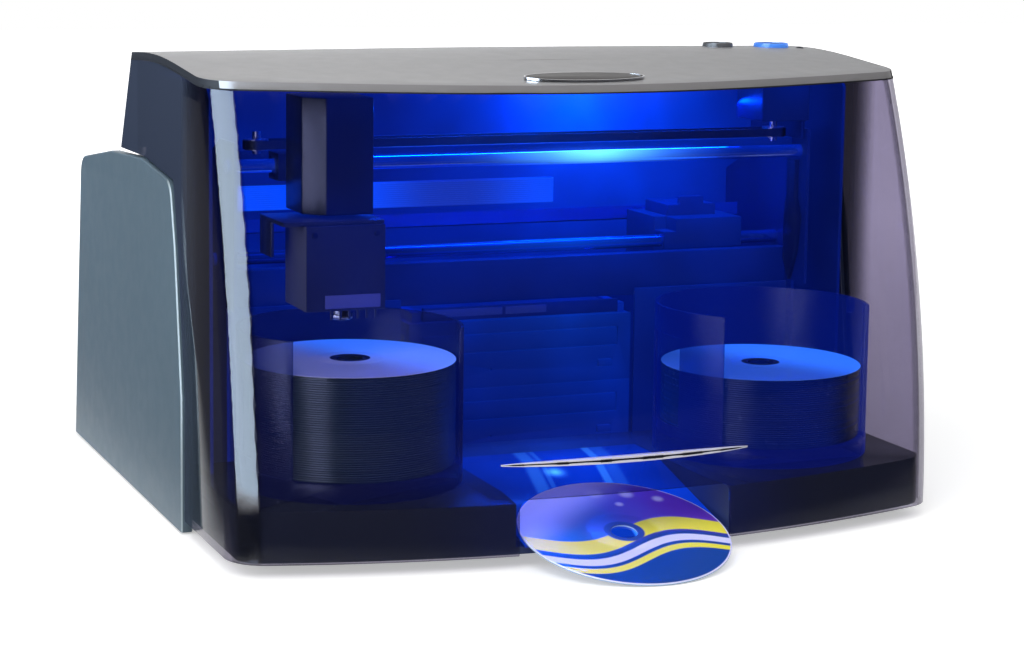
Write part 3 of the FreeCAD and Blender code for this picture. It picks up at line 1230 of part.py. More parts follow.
def switch_frame():
    """The open box that the power switch sits in, with its flange and the pin of the rocker."""
    y, z, x, clear = S.back_plate_y, S.socket_z, switch_x, S.switch_clear
    half, tall = S.switch_half + switch_rim, S.switch_tall + switch_rim
    face = y + S.back_plate_thick
    body = box("switch_body", (x - half, x + half), (y - S.switch_depth, face), (z - tall, z + tall))
    flange = box("switch_flange", (x - half - 2, x + half + 2), (face, face + 1.5),
                 (z - tall - 2, z + tall + 2))
    half, tall = S.switch_half + clear, S.switch_tall + clear
    well = box("switch_well", (x - half, x + half), (y - S.switch_depth + S.switch_wall, face + 2),
               (z - tall, z + tall))
    pin = rod("switch_pin", "X", S.switch_pin_radius, (x - half - 1, y, z), 2 * half + 2)
    hollow = cut("switch_hollow", fuse("switch_solid", [body, flange]), [well])
    return fuse("switch_whole", [hollow, pin])


def power_rocker():
    """The rocker of the power switch, pivoting on its pin in the plane of the back plate."""
    y, z, tall, base = S.back_plate_y, S.socket_z, S.switch_tall, S.switch_base
    rocker = pad("rocker_body", "YZ_Plane", [
        (y - base, z - tall), (y + 2.5, z - tall), (y + 4, z - 6), (y + 3, z), (y + 6, z + tall),
        (y - base, z + tall),
    ], (switch_x - S.switch_half, switch_x + S.switch_half))
    bore = rod("rocker_bore", "X", S.switch_pin_radius + S.running_gap,
               (switch_x - S.switch_half - 1, y, z), 2 * S.switch_half + 2)
    keep(cut("rocker_whole", rocker, [bore]), "power_switch")


def electronics():
    """The boxed power supply and the control board on its posts, on the floor of the casing."""
    supply = box("supply_box", (supply_x - S.supply_half, supply_x + S.supply_half),
                 (S.supply_front, S.supply_back), (floor_top, floor_top + S.supply_height))
    board_low = floor_top + S.post_height
    board = box("board_sheet", (-S.board_half, S.board_half), (S.board_front, S.board_back),
                (board_low, board_low + S.board_thick))
    posts = []
    inset = S.post_inset
    for x in (inset - S.board_half, S.board_half - inset):
        for y in (S.board_front + inset, S.board_back - inset):
            posts.append(rod("board_post", "Z", S.post_radius, (x, y, floor_top), S.post_height))
    keep(group("electronics_group", [supply, fuse("board_on_posts", [board] + posts)]), "electronics")


robot()
ribbon()
motors()
button("power_button", power_button_x, S.power_button_radius)
button("feed_button", feed_button_x, S.feed_button_radius)
back_plate()
fan()
sockets()
power_rocker()
electronics()


# ---------------------------------------------------------------- checking and writing
doc.recompute()
for thing in doc.Objects:
    if "Invalid" in thing.State or "Error" in thing.State:
        raise RuntimeError("%s did not recompute: %s" % (thing.Label, thing.State))
os.makedirs("parts", exist_ok=True)
for thing in finished:
    if thing.Shape.isNull() or not thing.Shape.isValid() or not thing.Shape.Solids:
        raise RuntimeError("%s has no valid solid" % thing.Label)
for thing in finished:
    thing.Shape.exportStep("parts/%s.step" % thing.Label)
print("%d sub-parts written" % len(finished))
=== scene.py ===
"""Looks of a desk-top disc label printer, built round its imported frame.

Each sub-assembly is a class with its sizes as fields, in metres, and methods that build its meshes
and dress the frame's own nodes. Each finish is a frozen dataclass that makes one material.
"""

import logging
import math
from dataclasses import dataclass
from enum import Enum
from typing import Callable, Iterable, Optional, Sequence, Union

import bmesh
import bpy
from bmesh.types import BMEdge, BMesh, BMFace
from bpy.types import Material, Node, NodeSocket as Socket, Object, World
from mathutils import Matrix, Vector


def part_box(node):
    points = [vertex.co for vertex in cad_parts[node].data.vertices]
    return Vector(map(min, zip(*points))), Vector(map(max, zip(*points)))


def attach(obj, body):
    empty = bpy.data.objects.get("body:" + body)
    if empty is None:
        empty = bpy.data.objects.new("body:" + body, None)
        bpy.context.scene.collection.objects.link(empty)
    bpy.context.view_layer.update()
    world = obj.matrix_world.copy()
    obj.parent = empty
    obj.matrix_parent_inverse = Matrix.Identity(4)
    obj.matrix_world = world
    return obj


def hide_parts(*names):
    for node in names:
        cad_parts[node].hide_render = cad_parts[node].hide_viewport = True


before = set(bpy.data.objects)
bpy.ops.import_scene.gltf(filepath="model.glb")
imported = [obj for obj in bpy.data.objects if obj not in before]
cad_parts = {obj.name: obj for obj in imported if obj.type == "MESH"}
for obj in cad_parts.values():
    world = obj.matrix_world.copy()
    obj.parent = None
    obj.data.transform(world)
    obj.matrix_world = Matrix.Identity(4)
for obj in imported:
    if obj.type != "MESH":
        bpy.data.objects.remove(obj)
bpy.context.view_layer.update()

log = logging.getLogger("disc_label_printer")
Colour = tuple[float, float, float]
Place = tuple[float, float, float]
Pair = tuple[float, float]
Outline = Sequence[Pair]
Value = Union[Socket, float, Colour, Vector, tuple]
WHITE = (1.0, 1.0, 1.0)


class Axis(Enum):
    """A direction of the frame that a bar, a wheel or a brushing follows."""

    X = (1.0, 0.0, 0.0)
    Y = (0.0, 1.0, 0.0)
    Z = (0.0, 0.0, 1.0)

    @property
    def vector(self) -> Vector:
        """The direction as a unit vector."""
        return Vector(self.value)

    @property
    def turn(self) -> Matrix:
        """The rotation that takes +Z to this direction."""
        return Vector((0.0, 0.0, 1.0)).rotation_difference(self.vector).to_matrix().to_4x4()


# ------------------------------------------------------------------ shader building
class ShaderBoard:
    """The nodes of one material, or of the surround, and the short calls that wire them."""

    def __init__(self, owner: Union[Material, World]) -> None:
        """Starts with the owner's node tree, emptied."""
        owner.use_nodes = True
        self.tree = owner.node_tree
        self.tree.nodes.clear()

    def add(self, kind: str, inputs: Optional[dict] = None, **settings: object) -> Node:
        """Adds a node.

        Args:
            kind: the node's type without its ShaderNode prefix.
            inputs: input names, or positions, with the socket or constant that feeds each.
            settings: the node's own properties.

        Returns:
            The new node.
        """
        node = self.tree.nodes.new("ShaderNode" + kind)
        for key, value in settings.items():
            setattr(node, key, value)
        for key, value in (inputs or {}).items():
            if isinstance(value, Socket):
                self.tree.links.new(value, node.inputs[key])
            elif isinstance(value, tuple) and len(value) == 3 and node.inputs[key].type == "RGBA":
                node.inputs[key].default_value = (*value, 1.0)
            else:
                node.inputs[key].default_value = value
        return node

    def math(self, operation: str, *values: Value, clamp: bool = False) -> Socket:
        """Gives the result of a Math node on its values."""
        return self.add("Math", dict(enumerate(values)), operation=operation, use_clamp=clamp).outputs[0]

    def times(self, first: Value, second: Value) -> Socket:
        """Gives the product of two values."""
        return self.math("MULTIPLY", first, second)

    def plus(self, first: Value, second: Value, clamp: bool = False) -> Socket:
        """Gives the sum of two values."""
        return self.math("ADD", first, second, clamp=clamp)

    def most(self, first: Value, second: Value) -> Socket:
        """Gives the larger of two values."""
        return self.math("MAXIMUM", first, second)

    def off(self, value: Value, middle: Value) -> Socket:
        """Gives how far a value lies from a middle one."""
        return self.math("ABSOLUTE", self.math("SUBTRACT", value, middle))

    def part(self, vector: Socket, index: int) -> Socket:
        """Gives one component of a vector."""
        return self.add("SeparateXYZ", {0: vector}).outputs[index]

    def place(self, scale: Value = (1.0, 1.0, 1.0), shift: Value = (0.0, 0.0, 0.0),
              source: str = "Object") -> Socket:
        """Gives texture coordinates, Object or UV, scaled and then shifted."""
        coordinates = self.add("TexCoord").outputs[source]
        return self.add("Mapping", {"Vector": coordinates, "Scale": scale, "Location": shift}).outputs[0]

    def axis(self, index: int, source: str = "Object") -> Socket:
        """Gives one component of the texture coordinates."""
        return self.part(self.place(source=source), index)

    def normal(self) -> Socket:
        """Gives the way that the surface faces, in object coordinates."""
        return self.add("TexCoord").outputs["Normal"]

    def reach(self, centre: Place = (0.0, 0.0, 0.0), source: str = "Object") -> Socket:
        """Gives the distance from a centre."""
        away = self.place(shift=tuple(-part for part in centre), source=source)
        return self.add("VectorMath", {0: away}, operation="LENGTH").outputs[1]

    def noise(self, scale: float, detail: float = 3.0, rough: float = 0.55,
              vector: Optional[Socket] = None) -> Socket:
        """Gives a noise value from 0 to 1, in object coordinates if no vector is given."""
        vector = self.place() if vector is None else vector
        inputs = {"Vector": vector, "Scale": scale, "Detail": detail, "Roughness": rough}
        return self.add("TexNoise", inputs).outputs[0]

    def span(self, value: Value, low: float, high: float, to_low: float = 0.0,
             to_high: float = 1.0, smooth: bool = True) -> Socket:
        """Maps a value from one span to another, clamped."""
        inputs = {0: value, 1: low, 2: high, 3: to_low, 4: to_high}
        kind = "SMOOTHSTEP" if smooth else "LINEAR"
        return self.add("MapRange", inputs, interpolation_type=kind).outputs[0]

    def within(self, offset: Value, half: float, soft: float, peak: float = 1.0) -> Socket:
        """Gives the peak where an offset is less than half a width, and 0 beyond its soft edge."""
        return self.span(offset, half, soft, peak, 0.0)

    def blend(self, factor: Value, first: Value, second: Value) -> Socket:
        """Mixes two colours by a factor."""
        return self.add("Mix", {0: factor, 6: first, 7: second}, data_type="RGBA").outputs[2]

    def bump(self, height: Socket, distance: float, strength: float = 1.0) -> Socket:
        """Gives a normal raised by a height of that distance in metres."""
        return self.add("Bump", {"Height": height, "Distance": distance, "Strength": strength}).outputs[0]

    def principled(self, **inputs: object) -> Node:
        """Adds the main shader; names of inputs have _ for spaces."""
        return self.add("BsdfPrincipled", {key.replace("_", " "): value for key, value in inputs.items()})

    def light(self, shader: Node, strength: Socket, colour: Socket) -> None:
        """Lets the main shader glow."""
        self.tree.links.new(strength, shader.inputs["Emission Strength"])
        self.tree.links.new(colour, shader.inputs["Emission Color"])

    def close(self, shader: Socket, output: str = "OutputMaterial") -> None:
        """Wires the shader to an output of that kind."""
        self.add(output, {"Surface": shader})


def shade(colour: Colour, factor: float) -> Colour:
    """Gives a colour made darker or lighter by a factor, at most 1."""
    return tuple(min(1.0, part * factor) for part in colour)


@dataclass(frozen=True)
class LampWash:
    """Blue light of the machine's own lamps, painted on a surface near them as a glow."""

    everywhere: float = 0.30
    peak: float = 1.0
    centre: Place = (0.02, 0.09, 0.262)
    reach: float = 0.22
    far: Colour = (0.0, 0.052, 1.0)
    near: Colour = (0.0, 0.105, 1.0)
    source: Place = (0.10, -0.42, 0.90)
    fading: float = 2.2
    inside: float = 0.06
    turn: Pair = (-0.5, 0.95)
    turn_light: Pair = (0.30, 1.55)
    drift: Pair = (0.75, 1.2)
    flank: Pair = (0.01, 0.10)

    def lay(self, board: ShaderBoard, shader: Node) -> None:
        """Lays the wash, painted lamp light, on a surface as a glow.

        The painted light is strongest near its centre and on faces that look up to the lamps, it drifts a
        little, and it fades on faces that look out of the machine.

        Args:
            board: the material's nodes.
            shader: the main shader that is to glow.
        """
        close = board.math("POWER", board.span(board.reach(self.centre), 0.0, self.reach, 1.0, 0.0, False),
                           self.fading)
        normal = board.normal()
        upward = board.add("VectorMath", {0: normal, 1: self.source}, operation="DOT_PRODUCT").outputs[1]
        facing = board.span(upward, *self.turn, *self.turn_light, smooth=False)
        drift = board.span(board.noise(14.0, 2.0), 0.3, 0.7, *self.drift)
        outward = board.times(board.axis(0), board.part(normal, 0))
        kept = board.span(outward, *self.flank, 1.0, self.inside)
        level = board.math("MULTIPLY_ADD", close, self.peak, self.everywhere)
        strength = board.times(board.times(level, facing), board.times(drift, kept))
        board.light(shader, strength, board.blend(close, self.far, self.near))


@dataclass(frozen=True)
class Finish:
    """What every finish has: a name, the record's slot it stands for and a colour."""

    name: str
    slot: str
    colour: Colour

    def wire(self, board: ShaderBoard) -> Socket:
        """Wires the finish's nodes and gives its shader; each kind of finish has its own."""
        raise NotImplementedError

    @staticmethod
    def washed(board: ShaderBoard, shader: Node, wash: Optional[LampWash]) -> Socket:
        """Gives the main shader's output, with a lamp wash of painted lamp light laid on it if there is one."""
        if wash is not None:
            wash.lay(board, shader)
        return shader.outputs[0]

    def material(self) -> Material:
        """Gives the finish's material, built once."""
        found = bpy.data.materials.get(self.name)
        if found is None:
            found = bpy.data.materials.new(self.name)
            board = ShaderBoard(found)
            board.close(self.wire(board))
        return found


@dataclass(frozen=True)
class Plastic(Finish):
    """Spark-textured or polished plastic, also paint: mottled a little and finely pitted."""

    roughness: float = 0.42
    grain: float = 2600.0
    pit: float = 0.00002
    mottle: float = 0.10
    coat: float = 0.0
    metallic: float = 0.0
    sheen: float = 0.5
    wash: Optional[LampWash] = None
    wear: Pair = (0.95, 1.06)

    def wire(self, board: ShaderBoard) -> Socket:
        """Wires the nodes of the finish."""
        tint = board.blend(board.noise(22.0, 4.0), shade(self.colour, 1 - self.mottle),
                           shade(self.colour, 1 + self.mottle))
        smooth, worn = (min(1.0, self.roughness * share) for share in self.wear)
        rough = board.span(board.noise(90.0, 5.0), 0.3, 0.7, smooth, worn)
        shader = board.principled(Base_Color=tint, Roughness=rough, Metallic=self.metallic,
                                  Normal=board.bump(board.noise(self.grain, 2.0), self.pit),
                                  Coat_Weight=self.coat, Coat_Roughness=0.08, Specular_IOR_Level=self.sheen)
        return self.washed(board, shader, self.wash)


@dataclass(frozen=True)
class Metal(Finish):
    """Metal with fine lines along one axis."""

    along: Axis = Axis.X
    roughness: float = 0.3
    line: float = 900.0
    depth: float = 0.00001
    wash: Optional[LampWash] = None
    stretch: float = 0.02
    shades: Pair = (0.82, 1.12)
    wear: Pair = (0.75, 1.25)

    def wire(self, board: ShaderBoard) -> Socket:
        """Wires the nodes of the finish."""
        stretch = tuple(self.stretch if part else 1.0 for part in self.along.value)
        lines = board.noise(self.line, 4.0, 0.7, board.place(scale=stretch))
        tint = board.blend(lines, *(shade(self.colour, factor) for factor in self.shades))
        rough = board.span(lines, 0.25, 0.75, *(self.roughness * share for share in self.wear))
        shader = board.principled(Base_Color=tint, Roughness=rough, Metallic=1.0,
                                  Normal=board.bump(lines, self.depth))
        return self.washed(board, shader, self.wash)


@dataclass(frozen=True)
class SmokedSheet(Finish):
    """Clear tinted acrylic: darker where it is seen edge on, glossy on its surface."""

    cover: float = 0.27
    edge: float = 0.92
    roughness: float = 0.03
    scuff: float = 0.02
    clear: Colour = (0.93, 0.90, 1.0)
    glow: float = 0.0
    lamp_blue: Colour = (0.0, 0.04, 1.0)
    # The mask paints shade: a dark, nearly opaque rear, side walls and corners.
    masked: Optional[Pair] = None
    flank: Pair = (-0.090, -0.045)
    mask_colour: Colour = (0.045, 0.060, 0.100)
    mask_cover: float = 0.97
    flank_cover: float = 0.84
    corner_cover: float = 0.62
    corner_turn: Pair = (0.22, 0.46)
    flank_turn: Pair = (0.6, 0.9)

    def wire(self, board: ShaderBoard) -> Socket:
        """Wires the nodes of the finish."""
        facing = board.add("LayerWeight", {"Blend": 0.5}).outputs["Facing"]
        rim = board.times(board.math("POWER", facing, 4.0), self.edge - self.cover)
        dust = board.times(board.span(board.noise(60.0, 6.0, 0.7), 0.55, 0.8), self.scuff)
        cover = board.plus(board.plus(rim, self.cover), dust, clamp=True)
        base, level = self.colour, 0.5
        # Painted shade: the mask darkens the rear, the side walls and the corners, and takes their gloss away.
        if self.masked is not None:
            cover, dark = self.mask(board, cover, *self.masked)
            base = board.blend(dark, self.colour, self.mask_colour)
            level = board.span(dark, 0.0, 1.0, level, 0.0)
        shader = board.principled(Base_Color=base, Roughness=self.roughness, IOR=1.6,
                                  Normal=board.bump(board.noise(9.0, 1.0), 0.0003, 0.04),
                                  Specular_IOR_Level=level, Emission_Color=self.lamp_blue,
                                  Emission_Strength=self.glow)
        clear = board.add("BsdfTransparent", {"Color": self.clear}).outputs[0]
        return board.add("MixShader", {0: cover, 1: clear, 2: shader.outputs[0]}).outputs[0]

    def mask(self, board: ShaderBoard, cover: Socket, start: float, end: float) -> tuple[Socket, Socket]:
        """Paints shade on the sheet: darkens its rear, its side walls and its rounded corners.

        Args:
            board: the material's nodes.
            cover: how much the sheet covers without the mask.
            start: where the dark rear begins.
            end: where it is whole.

        Returns:
            The cover with the mask, and how far a place belongs to it.
        """
        rear = board.span(board.axis(1), start, end)
        normal = board.normal()
        across = board.part(normal, 0)
        turned = board.off(board.times(across, board.part(normal, 1)), 0.0)
        corner = board.span(turned, *self.corner_turn, 0.0, self.corner_cover)
        upright = board.span(board.off(across, 0.0), *self.flank_turn)
        flank = board.times(board.span(board.axis(1), *self.flank), upright)
        cover = board.most(board.most(cover, board.times(rear, self.mask_cover)), corner)
        return board.most(cover, board.times(flank, self.flank_cover)), board.most(rear, flank)


@dataclass(frozen=True)
class LampLens(Finish):
    """A lit lens, a little uneven, with some gloss on its surface."""

    strength: float = 6.0

    def wire(self, board: ShaderBoard) -> Socket:
        """Wires the nodes of the finish."""
        glow = board.span(board.noise(300.0, 1.0), 0.2, 0.8, 0.8 * self.strength, self.strength)
        shader = board.principled(Base_Color=self.colour, Roughness=0.2, Emission_Color=self.colour,
                                  Emission_Strength=glow)
        return shader.outputs[0]


@dataclass(frozen=True)
class RingedDisc(Finish):
    """The plain printable face of a blank disc, with its clear hub, on the piece's own UV map."""

    hub: float = 11.5 / 60.0
    ring: float = 17.5 / 60.0
    ring_half: float = 0.003
    ring_soft: float = 0.009
    hub_soft: float = 0.004
    grooves: float = 900.0
    glow: Pair = (0.3, 0.9)
    hub_colour: Colour = (0.02, 0.035, 0.12)
    lamp_blue: Colour = (0.02, 0.20, 1.0)

    def wire(self, board: ShaderBoard) -> Socket:
        """Wires the nodes of the finish; painted blue lamp light, as a glow, goes from one side to the other.
        """
        radius = board.reach(source="UV")
        grooves = board.math("SINE", board.times(radius, self.grooves))
        hub = board.span(radius, self.hub - self.hub_soft, self.hub + self.hub_soft)
        ring = board.within(board.off(radius, self.ring + self.ring_half), self.ring_half, self.ring_soft)
        face = board.blend(hub, self.hub_colour, self.colour)
        face = board.blend(board.times(ring, 0.35), face, shade(self.colour, 0.55))
        speck = board.noise(2400.0, 2.0)
        across = board.math("MULTIPLY_ADD", board.axis(1, "UV"), 0.5, board.axis(0, "UV"))
        lit = board.times(board.span(across, -0.35, 0.55, *self.glow), hub)
        height = board.plus(board.times(grooves, 0.3), speck)
        shader = board.principled(Base_Color=face, Roughness=board.span(speck, 0.3, 0.7, 0.3, 0.45),
                                  Normal=board.bump(height, 0.000008), Emission_Color=self.lamp_blue,
                                  Emission_Strength=lit)
        return shader.outputs[0]


@dataclass(frozen=True)
class DiscPrint(Finish):
    """A generic printed face: soft blue and violet sky over rolling yellow and white bands."""

    violet: Colour = (0.15, 0.04, 0.52)
    pale: Colour = (0.72, 0.72, 0.95)
    yellow: Colour = (0.88, 0.80, 0.05)
    deep: Colour = (0.01, 0.06, 0.30)
    clear: Colour = (0.03, 0.07, 0.34)
    glints: tuple[Place, ...] = (
        (0.02, 0.78, 0.13), (0.33, 0.70, 0.10), (0.60, 0.56, 0.08), (0.18, 0.52, 0.06))
    roll: float = 0.16
    waves: float = 3.4
    soft: float = 0.02
    hub: float = 11.5 / 60.0
    rim: float = 0.98

    def wire(self, board: ShaderBoard) -> Socket:
        """Wires the sky with its glints, three curved bands, the clear hub and the rim."""
        across, up, radius = board.axis(0, "UV"), board.axis(1, "UV"), board.reach(source="UV")
        wave = board.math("SINE", board.times(across, self.waves))
        rolling = board.math("SUBTRACT", up, board.times(wave, self.roll))
        drift = board.noise(1.6, 2.0, vector=board.place(source="UV"))
        sky = board.blend(board.span(board.plus(across, drift), -0.2, 1.3), self.colour, self.violet)
        flare = board.span(board.math("MULTIPLY_ADD", across, -0.8, up), 0.40, 1.05)
        sky = board.blend(board.times(flare, 0.85), sky, self.pale)
        for right, high, size in self.glints:
            apart = board.reach((right, high, 0.0), "UV")
            sky = board.blend(board.within(apart, 0.2 * size, size, 0.75), sky, self.pale)
        face = board.blend(board.span(rolling, -0.30, -0.10), self.deep, sky)
        for middle, half, colour in ((-0.08, 0.115, self.yellow), (-0.36, 0.05, self.pale),
                                     (-0.52, 0.035, self.yellow)):
            face = board.blend(board.within(board.off(rolling, middle), half, half + self.soft), face, colour)
        face = board.blend(board.span(radius, self.hub - 0.01, self.hub + 0.01), self.clear, face)
        face = board.blend(board.span(radius, self.rim, self.rim + 0.008), face, self.pale)
        shader = board.principled(Base_Color=face, Roughness=0.30, Coat_Weight=0.1,
                                  Normal=board.bump(board.noise(2600.0, 2.0), 0.000006))
        return shader.outputs[0]


@dataclass(frozen=True)
class RibbonFoil(Finish):
    """A flat cable: fine conductors along its length under a clear film, with painted lamp light as a glow,
    stronger at both ends.
    """

    lines: float = 5200.0
    glow: Pair = (0.90, 1.95)
    glow_dip: Pair = (-0.050, 0.060)
    dip_blue: Colour = (0.010, 0.075, 0.90)
    lit_blue: Colour = (0.0, 0.080, 1.0)

    def wire(self, board: ShaderBoard) -> Socket:
        """Wires the nodes of the finish; the painted glow dips round the dim stretch of the cable."""
        wave = board.span(board.math("SINE", board.times(board.axis(2), self.lines)), -0.8, 0.8)
        tint = board.blend(wave, shade(self.colour, 0.75), self.colour)
        middle, half = self.glow_dip
        offset = board.off(board.axis(0), middle)
        lines = board.span(wave, 0.0, 1.0, 0.85, 1.0)
        lit = board.times(board.span(offset, 0.15 * half, half, *self.glow), lines)
        hue = board.blend(board.span(offset, 0.0, half), self.dip_blue, self.lit_blue)
        shader = board.principled(Base_Color=tint, Roughness=0.28, Normal=board.bump(wave, 0.00003),
                                  Emission_Color=hue, Emission_Strength=lit)
        return shader.outputs[0]


@dataclass(frozen=True)
class PaintedStreakPlastic(Plastic):
    """Polished plastic with painted streaks of lamp light along the way out, and one painted glint.

    A streak is the place across of its middle at the outlet, half its width and its strength.
    """

    streaks: tuple[Place, ...] = ()
    slant: float = 0.16
    outlet: float = -0.1125
    glint: Place = (0.0, 0.0, 0.0)
    glint_size: float = 0.012
    glint_strength: float = 2.4
    deep_blue: Colour = (0.0, 0.060, 1.0)
    pale_blue: Colour = (0.06, 0.40, 1.0)

    def wire(self, board: ShaderBoard) -> Socket:
        """Wires the plain finish and lays the painted streaks and the painted glint on it."""
        shader = super().wire(board).node
        total = shader.inputs["Emission Strength"].links[0].from_socket
        along, lit = board.axis(1), 0.0
        for middle, half, strength in self.streaks:
            line = board.math("MULTIPLY_ADD", along, self.slant, middle - self.slant * self.outlet)
            lit = board.plus(lit, board.within(board.off(board.axis(0), line), half * 0.4, half, strength))
        glint = board.math("POWER", board.within(board.reach(self.glint), 0.0, self.glint_size), 2.0)
        bright = board.plus(board.times(lit, 0.6), glint, clamp=True)
        hue = board.blend(bright, self.deep_blue, self.pale_blue)
        total = board.plus(board.plus(total, lit), board.times(glint, self.glint_strength))
        board.light(shader, total, hue)
        return shader.outputs[0]


# ------------------------------------------------------------------ finishes of this machine
# The washes are painted blue lamp light, laid as a glow on the finishes that take them; ROD_WASH's near colour
# paints the rods' cyan highlight.
WALL_WASH = LampWash(0.34, 2.6, (0.082, 0.062, 0.242), 0.15)
WORKS_WASH = LampWash(0.24, 0.9, (0.06, 0.03, 0.250), 0.18)
BAY_WASH = LampWash(0.23, 0.5, (0.02, -0.03, 0.20), 0.20)
DRIVE_WASH = LampWash(0.30, 0.3, (0.03, -0.05, 0.13), 0.16)
ROBOT_WASH = LampWash(0.11, 0.25, (0.0, -0.02, 0.22), 0.16)
ROD_WASH = LampWash(0.40, 5.0, (0.040, -0.020, 0.200), 0.12, near=(0.14, 0.72, 1.0))
CHUTE_WASH = LampWash(0.34, 0.6, (0.0, -0.09, 0.04), 0.10)
DECK_WASH = LampWash(0.0, 0.5, (0.0, -0.08, 0.03), 0.17)

SMOKED = SmokedSheet("smoked_acrylic", "smoked_window", (0.002, 0.003, 0.008), masked=(0.035, 0.060))
# Both bins are one smoked plastic in lit and shaded copies: the left one lighter, the right one darker with a
# stronger painted blue glow.
BIN_LEFT = SmokedSheet("left_bin_smoke", "bin_smoke", (0.020, 0.025, 0.036), cover=0.42, edge=0.96,
                       roughness=0.34, clear=(0.80, 0.85, 1.0), glow=0.06)
BIN_RIGHT = SmokedSheet("right_bin_smoke", "bin_smoke", (0.004, 0.006, 0.014), cover=0.40, edge=0.94,
                        roughness=0.34, clear=(0.75, 0.85, 1.0), glow=0.26)
PANEL = Plastic("warm_silver_panel", "panel_silver", (0.228, 0.222, 0.228), 0.32, metallic=0.25, grain=3200.0,
                mottle=0.02)
CHEEK = Plastic("slate_cheek", "cheek_plastic", (0.080, 0.118, 0.148), 0.42, grain=1900.0, mottle=0.02,
                sheen=0.35)
# A lighter copy of the cheek plastic for the cheeks' bevelled front edges: a painted highlight.
CHEEK_EDGE_HIGHLIGHT = Plastic("cheek_edge_highlight", "cheek_plastic", (0.28, 0.34, 0.37), 0.30, grain=1900.0)
CHARCOAL = Plastic("charcoal_base", "charcoal_plastic", (0.032, 0.044, 0.064), 0.24, pit=0.000004, sheen=0.30,
                   wash=DECK_WASH)
HOUSING = Plastic("rear_charcoal", "housing_plastic", (0.022, 0.026, 0.034), 0.5, grain=1500.0, pit=0.00004)
# The chute's blue cast, its streaks and its glint are painted lamp light.
CHUTE = PaintedStreakPlastic("chute_polish", "charcoal_plastic", (0.004, 0.016, 0.06), 0.14, coat=0.4,
                        wash=CHUTE_WASH, glint=(-0.009, -0.1025, 0.032),
                        streaks=((-0.0233, 0.0060, 0.50), (-0.0160, 0.0022, 0.40),
                                 (0.0190, 0.0036, 0.70), (0.0262, 0.0060, 0.30)))
GASKET = Plastic("black_gasket", "rubber_black", (0.008, 0.008, 0.010), 0.6, sheen=0.2)
RUBBER = Plastic("foot_rubber", "rubber_black", (0.02, 0.02, 0.02), 0.85, grain=1200.0)
# Inside the machine the base colours carry painted blue lamp light: the black parts are given a blue cast, and
# grey or white parts (steel, rods, labels, films, the flat cable and the arm strip) are given blue.
BEZEL = Plastic("drive_black", "bezel_black", (0.003, 0.008, 0.03), 0.38, wash=DRIVE_WASH)
ROBOT = Plastic("robot_satin_black", "robot_black", (0.007, 0.010, 0.020), 0.34, wash=ROBOT_WASH)
ARM = Plastic("arm_satin_black", "robot_black", (0.020, 0.028, 0.052), 0.34, wash=ROBOT_WASH)
# A lighter copy of the arm's satin black for its left faces: painted light from the left.
ARM_LIT_SIDE = Plastic("arm_lit_side", "robot_black", (0.15, 0.18, 0.25), 0.36, wash=ROBOT_WASH)
LABEL = Plastic("blank_label", "film_clear", (0.05, 0.10, 0.30), 0.5, wash=WORKS_WASH)
WALL = Plastic("lit_rear_wall", "chassis_paint", (0.003, 0.012, 0.08), 0.30, wash=WALL_WASH)
CHASSIS = Plastic("chassis_black_lamp_blue", "chassis_paint", (0.003, 0.010, 0.05), 0.38, wash=BAY_WASH)
BAY = Plastic("bay_panel_black", "housing_plastic", (0.003, 0.010, 0.045), 0.35, wash=BAY_WASH)
PRINTER = Plastic("printer_black", "housing_plastic", (0.003, 0.009, 0.035), 0.34, wash=WORKS_WASH)
BUTTON = Plastic("button_black", "button_dark", (0.02, 0.022, 0.028), 0.55, sheen=0.08)
LENS = Plastic("badge_lens", "badge_gloss", (0.012, 0.009, 0.009), 0.30, pit=0.0, sheen=0.12)
# The pull lips' light silver is partly a painted highlight of the light along the pull's edges.
PULL_SILVER_HIGHLIGHT = Plastic("satin_silver_pull_highlight", "pull_metal", (0.80, 0.78, 0.84), 0.30, metallic=0.25, mottle=0.03)
TRIM = Metal("polished_trim", "pull_metal", (0.80, 0.80, 0.84), roughness=0.14, depth=0.000002)
# Both rods are one ground steel given blue as painted lamp light: the upper copy lighter, with the painted cyan
# highlight of its wash, the lower copy darker as painted shade.
ROD = Metal("ground_rod", "rod_steel", (0.30, 0.50, 0.85), roughness=0.14, depth=0.000002, wash=ROD_WASH)
LOW_ROD = Metal("ground_rod_low", "rod_steel", (0.10, 0.16, 0.40), roughness=0.10, depth=0.000002,
                wash=LampWash(0.22, 0.6, (0.035, -0.02, 0.16), 0.14))
STEEL = Metal("folded_steel", "steel", (0.50, 0.52, 0.55), roughness=0.35)
# Works steel is the folded steel given blue: painted lamp light.
WORKS_STEEL = Metal("works_steel", "steel", (0.05, 0.12, 0.50), roughness=0.35, wash=DRIVE_WASH)
BACK_STEEL = Metal("back_plate_steel", "plate_steel", (0.42, 0.43, 0.45), roughness=0.38)
# The drive cases are the supply case's steel given blue: painted lamp light.
DRIVE_STEEL = Metal("drive_case_steel", "drive_steel", (0.10, 0.16, 0.42), Axis.Y, 0.4, wash=DRIVE_WASH)
BRASS = Metal("turned_brass", "brass_pulley", (0.30, 0.28, 0.30), Axis.Z, 0.3, wash=BAY_WASH)
MOTOR = Plastic("motor_can", "motor_metal", (0.004, 0.012, 0.05), 0.34, metallic=0.4, wash=BAY_WASH)
BELT = Plastic("toothed_belt", "belt_rubber", (0.004, 0.008, 0.02), 0.7, wash=ROBOT_WASH)
SUPPLY = Metal("supply_case", "drive_steel", (0.45, 0.46, 0.48), Axis.Y, 0.42)
INK = Plastic("cartridge_body", "ink_body", (0.006, 0.012, 0.05), 0.36, wash=DRIVE_WASH)
FILM = Plastic("encoder_film", "film_clear", (0.02, 0.06, 0.30), 0.2, wash=DRIVE_WASH)
